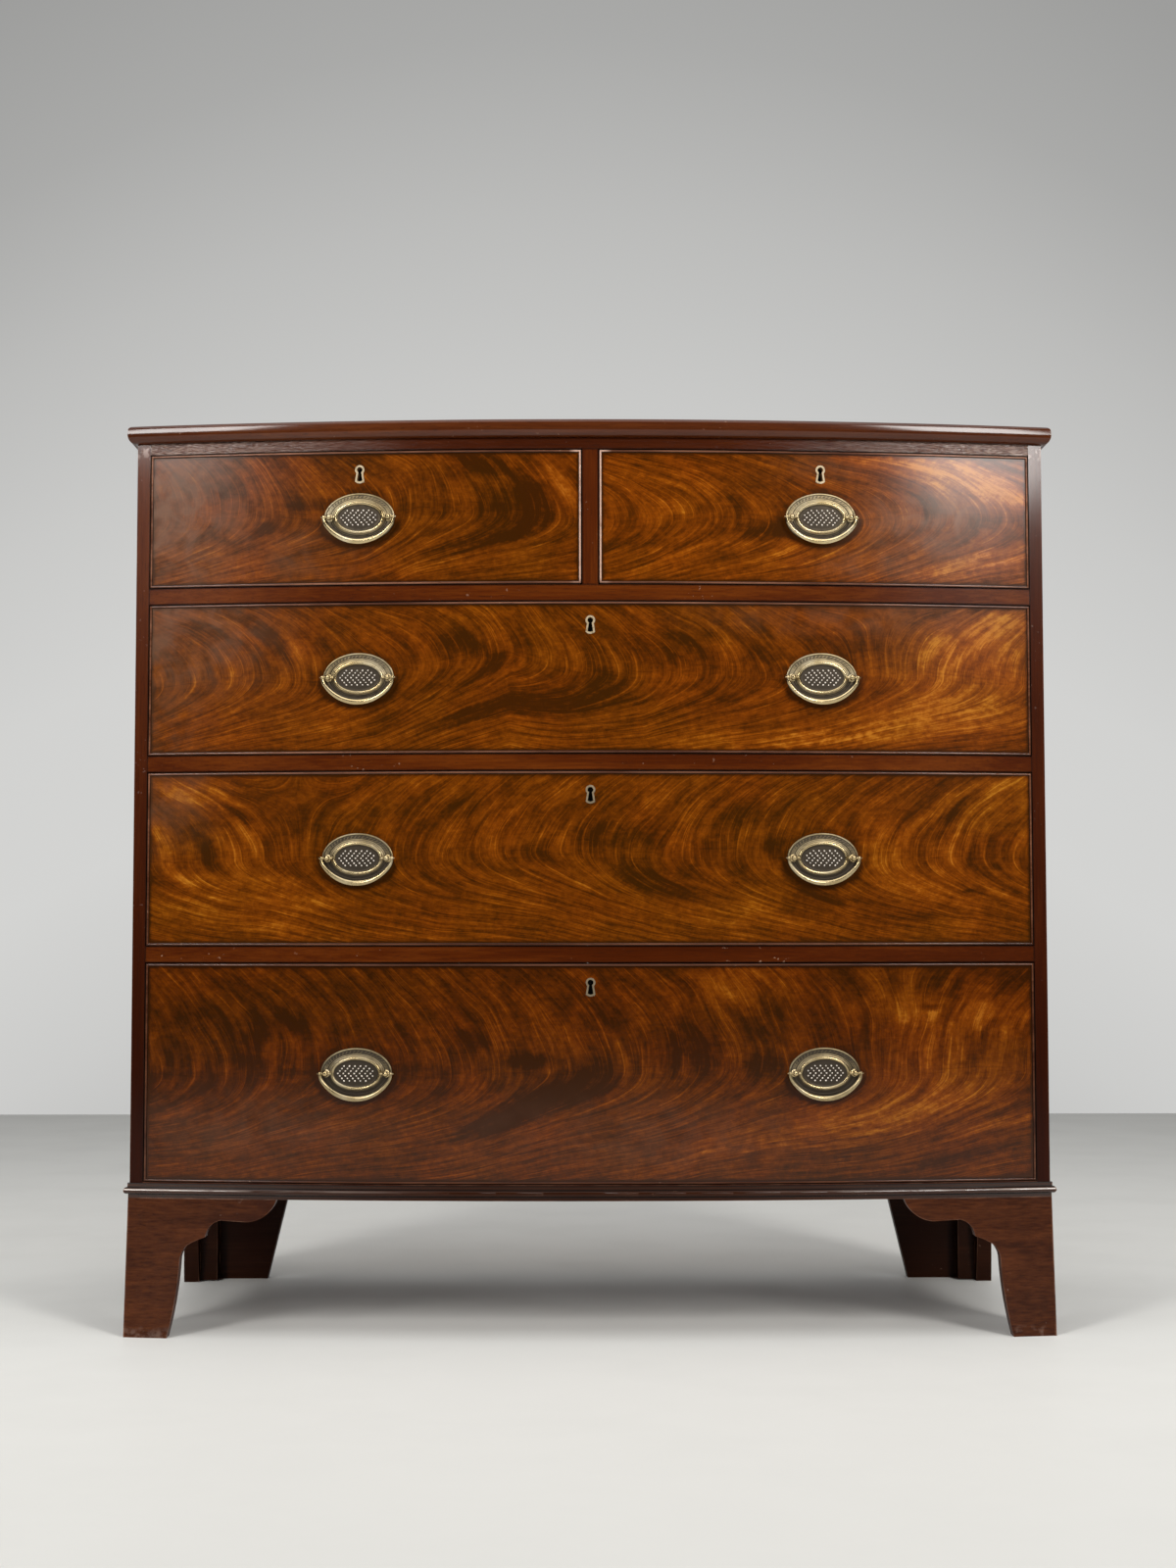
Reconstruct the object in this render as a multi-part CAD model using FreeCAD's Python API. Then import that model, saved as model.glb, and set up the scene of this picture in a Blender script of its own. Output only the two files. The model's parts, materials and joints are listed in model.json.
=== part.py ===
# A chest of drawers with a bowed front: two short drawers over three long ones, on bracket feet.
# Millimetres. X runs to the right, Y to the back, Z up. The origin is on the floor, under the middle
# of the whole chest. Each node is written to parts/NODE.step.
import FreeCAD
import Part
import math
import os

Vector = FreeCAD.Vector

# carcass
body_width = 1030.0
side_depth = 455.0            # from a front corner to the back
bow = 42.0                    # how far the middle of the front stands before its corners
side_thickness = 15.0
bottom_thickness = 17.5
foot_height = 153.5
top_thickness = 20.5
top_overhang = 10.5           # past the body at the front and both ends
nose_drop = 9.0               # from the top face down to the edge's foremost line
nose_top_reach = 12.0         # how far back the upper curve of the edge starts
nose_under_reach = 8.5        # how far back its lower curve ends

# drawer rows
short_opening = 153.5         # heights of the openings, from the top row down
upper_opening = 172.0
middle_opening = 196.0
lower_opening = 244.5
rail_thickness = 18.0
rail_depth = 60.0             # behind a front corner
top_rail_thickness = 12.5
rail_tenon = 6.0
muntin_width = 18.0
muntin_tenon = 4.5

# inside the carcass
back_thickness = 10.0
back_rebate = 7.0             # how far the back boards are let into each side
plank_count = 6
plank_gap = 0.5
runner_width = 36.0
centre_runner_width = 84.0
guide_height = 20.0
dustboard_thickness = 6.0
dustboard_groove = 8.0
stop_length = 40.0
stop_depth = 12.0
stop_height = 4.5
stop_from_middle = 0.32       # of the drawer's width

# drawers
gap_side = 1.0
gap_above = 1.2
gap_below = 0.8
slide_gap = 0.3               # under the drawer sides
stop_gap = 0.3
front_thickness = 21.2
veneer_thickness = 1.2
bead_width = 3.0
bead_depth = 6.0
bead_proud = 1.8
bead_round = 1.3              # height of its rounded nose, a little under half its width
glue_line = 0.12              # left between curved faces that are glued together
lining_thickness = 9.0        # drawer sides and back
lining_below_top = 4.0
back_below_top = 10.0
panel_thickness = 6.0         # drawer bottom
panel_rise = 7.0              # its underside above the lower edge of the drawer sides
panel_groove = 5.0
drawer_back_gap = 6.0
tail_lap = 7.2                # wood left before the tips of the front dovetails
tail_root = 3.0               # how far behind the drawer front they start
tail_pitch = 48.0
tail_share = 0.3              # half width of a tail at its root, of the pitch
tail_flare = 2.0

# base moulding and feet
mould_band = 4.5              # flat band at the bottom, and again at the top
mould_round = 7.5             # half round between the two bands
mould_low_proud = 1.5
mould_top_proud = 2.2
mould_round_proud = 6.3
mould_shoulder = 0.4          # from the upper band out to the start of the half round
foot_splay = 3.2              # further out at the floor than at the top
# arcs of the brackets' scroll cut, each by its start, middle and end, from the bracket's tip inwards:
# distance from the outer corner, and drop below the body
bracket_scroll = (
    ((168.5, 0.0), (159.5, 14.5), (134.0, 25.0)),
    ((106.0, 23.5), (94.5, 29.5), (88.5, 42.0)),
    ((86.0, 43.0), (77.0, 46.5), (68.0, 51.5)),
    ((68.0, 51.5), (62.5, 58.5), (60.0, 67.5)),
)
leg_curve = 56.0              # width of the leg part of the way down
leg_curve_share = 0.44        # how far down that is, from the scroll to the floor
leg_floor = 46.0              # width of the leg at the floor
bracket_thickness = 16.0
rear_board_top = 137.0        # reach of the rear board from the outer corner
rear_board_floor = 100.0
block_size = 22.0
block_clear = 1.5             # corner blocks stop short of the floor
glue_block = 14.0
glue_block_length = 70.0

# handles
handle_x = 259.5
plate_half_width = 40.0
plate_half_height = 28.0
plate_thickness = 1.4
step_half_width = 30.6
step_half_height = 20.6
step_height = 2.8
ring_half_width = 28.2
ring_half_height = 18.2
ring_height = 4.4
recess_half_width = 25.0
recess_half_height = 15.0
recess_floor = 2.4
post_half_spacing = 33.5
post_axis = 8.2               # hinge line of the bail, before the drawer face
post_ball = 3.4
post_neck = 2.6
post_shank = 2.2
shank_clearance = 0.05
nut_radius = 5.5
nut_thickness = 3.2
nut_gap = 0.3
shank_past_nut = 1.5
pin_radius = 1.38
pin_clearance = 0.07
bail_half_width = 39.6
bail_drop = 27.8
bail_end_radius = 15.0
bail_rod = 2.2
pin_end_ball = 1.7
pin_end_gap = 0.4
elbow_ball = 2.3
elbow_taper = 0.8             # start of the pointed tip, of the elbow's ball
elbow_tip = 43.1
elbow_tip_radius = 0.5

# locks
key_drop = 26.0               # middle of the keyhole below the drawer's top edge
key_height = 16.4
key_head = 3.15
key_neck = 1.6
key_foot = 3.1
key_foot_rise = 1.2           # height of the rounded lower end
escutcheon_border = 2.2
escutcheon_depth = 4.0
escutcheon_proud = 0.25
lock_half_width = 30.0
lock_height = 44.0
lock_plate = 1.6
case_half_width = 21.0
case_height = 40.0
case_share = 0.5              # depth of the lock's case, of the drawer front's thickness
case_wall = 1.4
key_pin = 1.3
bolt_half_width = 9.0
bolt_length = 13.0
bolt_sink = 0.2
bolt_side_gap = 0.2
bolt_face_gap = 0.3
bolt_travel = 6.5
mortise_extra = 1.0           # round the bolt
mortise_past_bolt = 1.9       # above a raised bolt

# screws that hold the top
screw_x = (120.0, 400.0)
screw_shank = 2.2
screw_head = 4.2
screw_head_height = 2.6
screw_into_top = 12.0
screw_slot = 1.0

# worked out from the sizes above
half_body = body_width / 2.0
half_inside = half_body - side_thickness
bow_radius = (half_body ** 2 + bow ** 2) / (2.0 * bow)
total_depth = side_depth + bow + top_overhang
back_y = total_depth / 2.0
corner_y = back_y - side_depth
bow_centre_y = corner_y - bow + bow_radius
inside_back_y = back_y - back_thickness
rail_back_y = corner_y + rail_depth
drawer_back_y = inside_back_y - drawer_back_gap
lower_z = foot_height + bottom_thickness
rail_z = [lower_z + lower_opening]
rail_z.append(rail_z[0] + rail_thickness + middle_opening)
rail_z.append(rail_z[1] + rail_thickness + upper_opening)
short_z = rail_z[2] + rail_thickness
top_rail_z = short_z + short_opening
carcass_top_z = top_rail_z + top_rail_thickness
foot_out = mould_low_proud
case_depth = case_share * front_thickness
mortise_depth = bolt_travel - bolt_sink - gap_above + mortise_past_bolt
far = 200.0                   # more than any cutter needs past the piece it cuts
nose_strips = 16              # faces along a rounded nose, so that its mitred ends mesh cleanly
section_end = -body_width - far   # where the section of an edge is closed, past the other end

# each drawer: its left and right ends, its opening's lower and upper heights, its handles, its lock
drawers = {
    "short_left": (-half_inside + gap_side, -muntin_width / 2.0 - gap_side, short_z, top_rail_z,
                   (-handle_x,), -handle_x),
    "short_right": (muntin_width / 2.0 + gap_side, half_inside - gap_side, short_z, top_rail_z,
                    (handle_x,), handle_x),
    "upper_long": (-half_inside + gap_side, half_inside - gap_side, rail_z[1] + rail_thickness, rail_z[2],
                   (-handle_x, handle_x), 0.0),
    "middle_long": (-half_inside + gap_side, half_inside - gap_side, rail_z[0] + rail_thickness, rail_z[1],
                    (-handle_x, handle_x), 0.0),
    "lower_long": (-half_inside + gap_side, half_inside - gap_side, lower_z, rail_z[0],
                   (-handle_x, handle_x), 0.0),
}


def box(x0, x1, y0, y1, z0, z1):
    return Part.makeBox(x1 - x0, y1 - y0, z1 - z0, Vector(x0, y0, z0))


def cut_all(shape, cutters):
    return shape.cut(Part.makeCompound(cutters)) if cutters else shape


def mirrored(shape):
    return shape.mirror(Vector(0, 0, 0), Vector(1, 0, 0))


def line(a, b):
    return Part.LineSegment(a, b).toShape()


def rounded_nose(start, middle, end):
    """The arc through three points, as short arcs in a row."""
    arc = Part.Arc(start, middle, end).toShape()
    first, last = arc.ParameterRange
    step = (last - first) / nose_strips
    return [arc.Curve.toShape(first + i * step, first + (i + 1) * step) for i in range(nose_strips)]


def face_of(edges):
    return Part.Face(Part.Wire(Part.__sortEdges__(edges)))


def polygon(points):
    return Part.Face(Part.makePolygon(list(points) + [points[0]]))


def bow_y(x, out=0.0):
    """Y of the bowed front at x, moved forwards along the bow's radius by out."""
    return bow_centre_y - math.sqrt((bow_radius + out) ** 2 - x * x)


def bow_arc(x0, x1, out, z):
    return Part.Arc(*[Vector(x, bow_y(x, out), z) for x in (x0, (x0 + x1) / 2.0, x1)]).toShape()


def bowed_strip(x0, x1, out_front, out_back, z0, z1):
    """Upright piece whose front and back both follow the bow."""
    ends = [line(Vector(x, bow_y(x, out_front), z0), Vector(x, bow_y(x, out_back), z0)) for x in (x0, x1)]
    arcs = [bow_arc(x0, x1, out_front, z0), bow_arc(x0, x1, out_back, z0)]
    return face_of(arcs + ends).extrude(Vector(0, 0, z1 - z0))


def bowed_panel(x0, x1, out_front, y_back, z0, z1):
    """Piece with a bowed front and a straight back."""
    sides = [line(Vector(x, bow_y(x, out_front), z0), Vector(x, y_back, z0)) for x in (x0, x1)]
    back = line(Vector(x0, y_back, z0), Vector(x1, y_back, z0))
    return face_of([bow_arc(x0, x1, out_front, z0), back] + sides).extrude(Vector(0, 0, z1 - z0))


def bow_turned(section, reach):
    """A section drawn at x = 0, turned round the bow's axis to reach past x = reach at both ends."""
    angle = math.degrees(math.asin(reach / bow_radius))
    axis = Vector(0, bow_centre_y, 0), Vector(0, 0, 1)
    start = section.copy()
    start.rotate(axis[0], axis[1], -angle)
    return start.revolve(axis[0], axis[1], 2.0 * angle)


def section_at_front(edges_for):
    """Face at x = 0, where edges_for takes a function from (out, z) to a point."""
    return face_of(edges_for(lambda out, z: Vector(0, bow_centre_y - bow_radius - out, z)))


def section_at_end(edges_for, y):
    """The same section across the right hand end at y."""
    return face_of(edges_for(lambda out, z: Vector(half_body + out, y, z)))


def quarter_ellipse(centre, end_a, end_b):
    if (end_a - centre).Length < (end_b - centre).Length:
        end_a, end_b = end_b, end_a
    ellipse = Part.Ellipse(end_a, end_b, centre)
    return Part.ArcOfEllipse(ellipse, 0.0, math.pi / 2.0).toShape()


# ---- carcass

def top_edge(point):
    z0 = carcass_top_z
    z1 = z0 + top_thickness
    nose_z = z1 - nose_drop
    upper = quarter_ellipse(point(top_overhang - nose_top_reach, nose_z),
                            point(top_overhang, nose_z), point(top_overhang - nose_top_reach, z1))
    lower = quarter_ellipse(point(top_overhang - nose_under_reach, nose_z),
                            point(top_overhang, nose_z), point(top_overhang - nose_under_reach, z0))
    return [upper, lower,
            line(point(top_overhang - nose_top_reach, z1), point(section_end, z1)),
            line(point(section_end, z1), point(section_end, z0)),
            line(point(section_end, z0), point(top_overhang - nose_under_reach, z0))]


def solid_edge(out_top, out_floor, z0, z1):
    """Section with a straight, perhaps leaning, front and a far inner end."""

    def edges(point):
        corners = [point(section_end, z0), point(out_floor, z0), point(out_top, z1), point(section_end, z1)]
        return [line(corners[i], corners[(i + 1) % 4]) for i in range(4)]
    return edges


def round_the_body(edges_for, y_back):
    """The section round the front and both ends of the body, as one solid filled to the middle."""
    turned = bow_turned(section_at_front(edges_for), half_body + far)
    length = y_back - corner_y + bow + far
    right = section_at_end(edges_for, y_back).extrude(Vector(0, -length, 0))
    return turned.common(right.common(mirrored(right)))


def make_top_board(screws):
    board = round_the_body(top_edge, back_y)
    return cut_all(board, screws)


def rail_level_tenon(z0, z1):
    """Stub tenons of a front rail, one into each side."""
    margin = (z1 - z0) / 4.0
    tenon = box(half_inside, half_inside + rail_tenon, corner_y + rail_depth / 4.0, rail_back_y,
                z0 + margin, z1 - margin)
    return [tenon, mirrored(tenon)]


def make_front_rail(z0, z1, cutters):
    rail = bowed_panel(-half_inside, half_inside, 0.0, rail_back_y, z0, z1)
    return cut_all(rail.fuse(rail_level_tenon(z0, z1)), cutters)


def make_side(rail_levels):
    side = bowed_panel(half_inside, half_body, 0.0, back_y, foot_height, carcass_top_z)
    rebate = box(half_inside - 1.0, half_inside + back_rebate, inside_back_y, back_y + 1.0,
                 foot_height - 1.0, carcass_top_z + 1.0)
    tenons = [rail_level_tenon(z0, z1)[0] for z0, z1 in rail_levels]
    return cut_all(side, [rebate] + tenons)


def make_back_boards():
    half = half_inside + back_rebate
    pitch = (2.0 * half + plank_gap) / plank_count
    return [box(-half + i * pitch, -half + (i + 1) * pitch - plank_gap, inside_back_y, back_y,
                foot_height, carcass_top_z) for i in range(plank_count)]


def muntin_tenons():
    half = muntin_width / 4.0
    y0 = corner_y + rail_depth / 4.0
    return [box(-half, half, y0, rail_back_y, short_z - muntin_tenon, short_z),
            box(-half, half, y0, rail_back_y, top_rail_z, top_rail_z + muntin_tenon)]


def make_muntin():
    half = muntin_width / 2.0
    return bowed_panel(-half, half, 0.0, rail_back_y, short_z, top_rail_z).fuse(muntin_tenons())


def make_dustboards():
    """Thin panels between the rows, in grooves of the rails and runners."""
    boards = []
    inner = half_inside - runner_width + dustboard_groove
    middle = centre_runner_width / 2.0 - dustboard_groove
    for index, z in enumerate(rail_z):
        z0 = z + (rail_thickness - dustboard_thickness) / 2.0
        spans = [(-inner, inner)] if index < 2 else [(-inner, -middle), (middle, inner)]
        for x0, x1 in spans:
            boards.append(box(x0, x1, rail_back_y - dustboard_groove, inside_back_y,
                              z0, z0 + dustboard_thickness))
    return boards


def make_runners(dustboards):
    strips = []
    for z in rail_z:
        side = box(half_inside - runner_width, half_inside, rail_back_y, inside_back_y,
                   z, z + rail_thickness)
        strips += [side, mirrored(side)]
    half = centre_runner_width / 2.0
    strips.append(box(-half, half, rail_back_y, inside_back_y, rail_z[2], short_z))
    strips = [cut_all(strip, dustboards) for strip in strips]
    guide = muntin_width / 2.0
    strips.append(box(-guide, guide, rail_back_y, inside_back_y, short_z, short_z + guide_height))
    kicker_back_y = inside_back_y - rail_depth
    side = box(half_inside - runner_width, half_inside, rail_back_y, kicker_back_y,
               top_rail_z, carcass_top_z)
    strips += [side, mirrored(side)]
    strips.append(box(-half, half, rail_back_y, kicker_back_y, top_rail_z, carcass_top_z))
    return strips


def make_stops():
    stops = []
    out = -front_thickness - stop_gap
    for x0, x1, z, _, _, _ in drawers.values():
        for side in (-1, 1):
            middle = (x0 + x1) / 2.0 + side * stop_from_middle * (x1 - x0)
            stops.append(bowed_strip(middle - stop_length / 2.0, middle + stop_length / 2.0,
                                     out, out - stop_depth, z, z + stop_height))
    return stops


def make_screws():
    """Slotted screws up through the top rails into the top board."""
    screws = []
    for y in (corner_y + rail_depth / 2.0, inside_back_y - rail_depth / 2.0):
        for x in [s * v for s in (-1, 1) for v in screw_x]:
            z = top_rail_z
            head = Part.makeCone(screw_head, screw_shank, screw_head_height, Vector(x, y, z))
            shank = Part.makeCylinder(screw_shank, top_rail_thickness + screw_into_top - screw_head_height,
                                      Vector(x, y, z + screw_head_height))
            screws.append(head.fuse(shank).removeSplitter())
    return screws


def slotted(screw):
    centre = screw.BoundBox.Center
    half = screw_slot / 2.0
    return screw.cut(box(centre.x - 2.0 * screw_head, centre.x + 2.0 * screw_head,
                         centre.y - half, centre.y + half, top_rail_z - 1.0, top_rail_z + screw_slot))


# ---- base

def corner_wedge(of_front):
    """Prism on one side of the right hand mitre, standing on the floor."""
    height = foot_height + far
    outside = Vector(half_body + far, corner_y - far, 0)
    inside = Vector(half_body - far, corner_y + far, 0)
    if of_front:
        corners = [outside, inside, Vector(0, corner_y + far, 0), Vector(0, corner_y - far, 0)]
    else:
        corners = [outside, inside, Vector(half_body - far, back_y + far, 0),
                   Vector(half_body + far, back_y + far, 0)]
    return polygon(corners).extrude(Vector(0, 0, height))


def mould_edge(point):
    z0 = foot_height
    z1 = z0 + mould_band
    z2 = z1 + mould_round
    z3 = z2 + mould_band
    shoulder = mould_top_proud + mould_shoulder
    nose = rounded_nose(point(shoulder, z1), point(mould_round_proud, (z1 + z2) / 2.0), point(shoulder, z2))
    path = [point(shoulder, z2), point(mould_top_proud, z2), point(mould_top_proud, z3),
            point(section_end, z3), point(section_end, z0), point(mould_low_proud, z0),
            point(mould_low_proud, z1), point(shoulder, z1)]
    return nose + [line(a, b) for a, b in zip(path[:-1], path[1:])]


def make_moulding():
    z1 = foot_height + 2.0 * mould_band + mould_round
    body = round_the_body(solid_edge(glue_line, glue_line, foot_height - 1.0, z1 + 1.0), back_y + 1.0)
    band = round_the_body(mould_edge, back_y).cut(body)
    front = band.common(corner_wedge(True).fuse(mirrored(corner_wedge(True))))
    side = band.common(corner_wedge(False))
    return front.Solids + side.Solids + mirrored(side).Solids


def bracket_outline(point):
    """Scroll cut of a bracket; point takes the distance in from the outer corner, and the height."""

    def place(reach, drop):
        return point(reach, foot_height - drop)
    scroll_drop = bracket_scroll[-1][2][1]
    curve_drop = scroll_drop + leg_curve_share * (foot_height - scroll_drop)
    leg = (bracket_scroll[-1][2], (leg_curve, curve_drop), (leg_floor, foot_height))
    arcs = list(bracket_scroll) + [leg]
    edges = [Part.Arc(*[place(*spot) for spot in arc]).toShape() for arc in arcs]
    corners = [((-far, foot_height), (-far, 0.0)), ((-far, 0.0), arcs[0][0]), (leg[2], (-far, foot_height))]
    for before, after in zip(arcs[:-1], arcs[1:]):
        if before[2] != after[0]:
            corners.append((before[2], after[0]))
    return face_of(edges + [line(place(*start), place(*end)) for start, end in corners])


def foot_shell():
    """Everything between the leaning outer faces of the feet and a straight inner face."""
    outer = round_the_body(solid_edge(foot_out, foot_out + foot_splay, 0.0, foot_height), back_y)
    inner_out = foot_out - bracket_thickness
    inner = round_the_body(solid_edge(inner_out, inner_out, -1.0, foot_height + 1.0), back_y + 1.0)
    return outer.cut(inner)


def make_front_foot(shell):
    """Right hand front foot."""
    corner = half_body + foot_out
    face_y = corner_y - foot_out
    front_cut = bracket_outline(lambda d, z: Vector(corner - d, corner_y - far, z))
    front_cut = front_cut.extrude(Vector(0, 2.0 * far, 0))
    side_cut = bracket_outline(lambda d, z: Vector(half_body - far, face_y + d, z))
    side_cut = side_cut.extrude(Vector(2.0 * far, 0, 0))
    front = shell.common(corner_wedge(True)).common(front_cut)
    side = shell.common(corner_wedge(False)).common(side_cut)
    inner_x = corner - bracket_thickness
    inner_out = foot_out - bracket_thickness
    block = bowed_panel(inner_x - block_size, inner_x, inner_out - glue_line,
                        corner_y - inner_out + block_size, block_clear, foot_height)
    long_x = inner_x - block_size
    along_front = bowed_strip(long_x - glue_block_length, long_x, inner_out - glue_line,
                              inner_out - glue_block, foot_height - glue_block, foot_height)
    block_back = corner_y - inner_out + block_size
    along_side = box(inner_x - glue_block, inner_x, block_back, block_back + glue_block_length,
                     foot_height - glue_block, foot_height)
    return [front, side, block, along_front, along_side]


def make_rear_foot(shell):
    """Right hand rear foot."""
    corner = half_body + foot_out
    side_cut = bracket_outline(lambda d, z: Vector(half_body - far, back_y - d, z))
    side_cut = side_cut.extrude(Vector(2.0 * far, 0, 0))
    side = shell.common(corner_wedge(False)).common(side_cut)
    inner_x = corner - bracket_thickness
    y0 = back_y - bracket_thickness
    board = polygon([Vector(inner_x, y0, 0), Vector(corner - rear_board_floor, y0, 0),
                     Vector(corner - rear_board_top, y0, foot_height), Vector(inner_x, y0, foot_height)])
    board = board.extrude(Vector(0, bracket_thickness, 0))
    block = box(inner_x - block_size, inner_x, y0 - block_size, y0, block_clear, foot_height)
    along_side = box(inner_x - glue_block, inner_x, y0 - block_size - glue_block_length, y0 - block_size,
                     foot_height - glue_block, foot_height)
    return [side, board, block, along_side]


# ---- drawers

def on_front(shape, x, z):
    """Moves a shape drawn at the origin, facing -Y, onto the bowed front."""
    placed = shape.copy()
    turn = FreeCAD.Rotation(Vector(0, 0, 1), math.degrees(math.asin(x / bow_radius)))
    placed.Placement = FreeCAD.Placement(Vector(x, bow_y(x), z), turn).multiply(placed.Placement)
    return placed


def mitred_bead(shape, mitres):
    """Keeps what lies between two mitres, each given by its outer and its inner corner as (x, z)."""
    y = corner_y - far
    ends = []
    for (outer_x, outer_z), (inner_x, inner_z) in mitres:
        step = Vector(outer_x - inner_x, 0, outer_z - inner_z)
        ends.append((Vector(outer_x, y, outer_z) + step, Vector(inner_x, y, inner_z) - step))
    mask = polygon([ends[0][0], ends[1][0], ends[1][1], ends[0][1]])
    return shape.common(mask.extrude(Vector(0, 2.0 * far, 0)))


def bead_across(x0, x1, z):
    """Bead along the bow, from z up, with a rounded nose and short straight tips at the mitres."""
    half = bead_width / 2.0
    flat = bead_proud - bead_round

    def edges(point):
        nose = Part.Arc(point(flat, z), point(bead_proud, z + half), point(flat, z + bead_width)).toShape()
        path = [point(flat, z + bead_width), point(-bead_depth, z + bead_width),
                point(-bead_depth, z), point(flat, z)]
        return [nose] + [line(a, b) for a, b in zip(path[:-1], path[1:])]
    section = section_at_front(edges)
    axis = Vector(0, bow_centre_y, 0), Vector(0, 0, 1)
    straight = 2.0 * bead_width
    turns = []
    ends = []
    tips = []
    for x, side in ((x0, -1), (x1, 1)):
        turn = math.asin((x - side * straight) / bow_radius)
        end = section.copy()
        end.rotate(axis[0], axis[1], math.degrees(turn))
        outwards = Vector(math.cos(turn), math.sin(turn), 0) * side
        tips.append(end.extrude(outwards * 2.0 * straight))
        turns.append(turn)
        ends.append(end)
    middle = ends[0].revolve(axis[0], axis[1], math.degrees(turns[1] - turns[0]))
    return middle.fuse(tips)


def bead_upright(x, z0, z1):
    """Upright bead from x to x + bead_width."""
    half = bead_width / 2.0
    flat = bead_proud - bead_round

    def point(px, out):
        return Vector(px, bow_y(px, out), z0)
    nose = Part.Arc(point(x, flat), point(x + half, bead_proud), point(x + bead_width, flat)).toShape()
    path = [point(x + bead_width, flat), point(x + bead_width, -bead_depth), point(x, -bead_depth),
            point(x, flat)]
    section = face_of([nose] + [line(a, b) for a, b in zip(path[:-1], path[1:])])
    return section.extrude(Vector(0, 0, z1 - z0))


def make_beads(x0, x1, z0, z1):
    """The four beads round a drawer front: upper, lower, left and right."""
    w = bead_width
    top_left, top_right = ((x0, z1), (x0 + w, z1 - w)), ((x1, z1), (x1 - w, z1 - w))
    low_left, low_right = ((x0, z0), (x0 + w, z0 + w)), ((x1, z0), (x1 - w, z0 + w))
    return [mitred_bead(bead_across(x0, x1, z1 - w), (top_left, top_right)),
            mitred_bead(bead_across(x0, x1, z0), (low_left, low_right)),
            mitred_bead(bead_upright(x0, z0, z1), (low_left, top_left)),
            mitred_bead(bead_upright(x1 - w, z0, z1), (low_right, top_right))]


def make_core(x0, x1, z0, z1):
    """Thick core of a drawer front, rebated all round for the beads."""
    w = bead_width
    rebate = -bead_depth - glue_line
    front = bowed_strip(x0 + w, x1 - w, -veneer_thickness, rebate - 1.0, z0 + w, z1 - w)
    return bowed_strip(x0, x1, rebate, -front_thickness, z0, z1).fuse(front)


def tail_heights(z0, z1):
    count = max(2, int(round((z1 - z0) / tail_pitch)))
    pitch = (z1 - z0) / count
    return [(z0 + (i + 0.5) * pitch, pitch * tail_share) for i in range(count)]


def tails(x0, x1, root_y, tip_y, z0, z1):
    """Dovetails that widen from root_y to tip_y, as prisms from x0 to x1."""
    result = []
    for z, half in tail_heights(z0, z1):
        corners = [Vector(x0, root_y, z - half), Vector(x0, tip_y, z - half - tail_flare),
                   Vector(x0, tip_y, z + half + tail_flare), Vector(x0, root_y, z + half)]
        result.append(polygon(corners).extrude(Vector(x1 - x0, 0, 0)))
    return result


def make_drawer_box(x0, x1, z0, z1):
    """Two sides, the back and the bottom; z0 is the runner's top and z1 the drawer's top edge."""
    side_z0 = z0 + slide_gap
    side_z1 = z1 - lining_below_top
    panel_z = side_z0 + panel_rise
    back_z0 = panel_z + panel_thickness
    back_y0 = drawer_back_y - lining_thickness
    groove = lining_thickness - panel_groove
    panel = bowed_panel(x0 + groove, x1 - groove, panel_groove - front_thickness, drawer_back_y,
                        panel_z, back_z0)
    back = box(x0, x1, back_y0, drawer_back_y, back_z0, z1 - back_below_top)
    before = bowed_strip(x0 - 1.0, x1 + 1.0, far / 2.0, -front_thickness, side_z0 - 1.0, side_z1 + 1.0)
    sides = []
    for edge in (x0, x1 - lining_thickness):
        inner_y = bow_y(edge + lining_thickness / 2.0, -front_thickness)
        tip_y = inner_y - front_thickness + tail_lap
        front_tails = tails(edge, edge + lining_thickness, inner_y + tail_root, tip_y,
                            z0 + gap_below + 2.0 * bead_width, side_z1)
        back_tails = tails(edge, edge + lining_thickness, back_y0, drawer_back_y, back_z0,
                           z1 - back_below_top)
        back = cut_all(back, back_tails)
        blank = box(edge, edge + lining_thickness, corner_y - bow, drawer_back_y, side_z0, side_z1)
        sides.append((blank.cut(before), front_tails))
    sides = [blank.fuse(pieces).cut(back).cut(panel).removeSplitter() for blank, pieces in sides]
    return sides + [back, panel]


def ellipse_disc(half_width, half_height, y0, y1):
    """Oval prism facing -Y, from y0 to y1."""
    edge = Part.Ellipse(Vector(0, 0, 0), half_width, half_height).toShape()
    disc = Part.Face(Part.Wire(edge)).extrude(Vector(0, 0, abs(y1 - y0)))
    disc.rotate(Vector(0, 0, 0), Vector(1, 0, 0), 90.0)
    disc.translate(Vector(0, max(y0, y1), 0))
    return disc


def along_y(radius, y0, y1, x=0.0, z=0.0):
    return Part.makeCylinder(radius, y1 - y0, Vector(x, y0, z), Vector(0, 1, 0))


def along_x(radius, x0, x1, y=0.0):
    return Part.makeCylinder(radius, x1 - x0, Vector(x0, y, 0), Vector(1, 0, 0))


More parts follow.
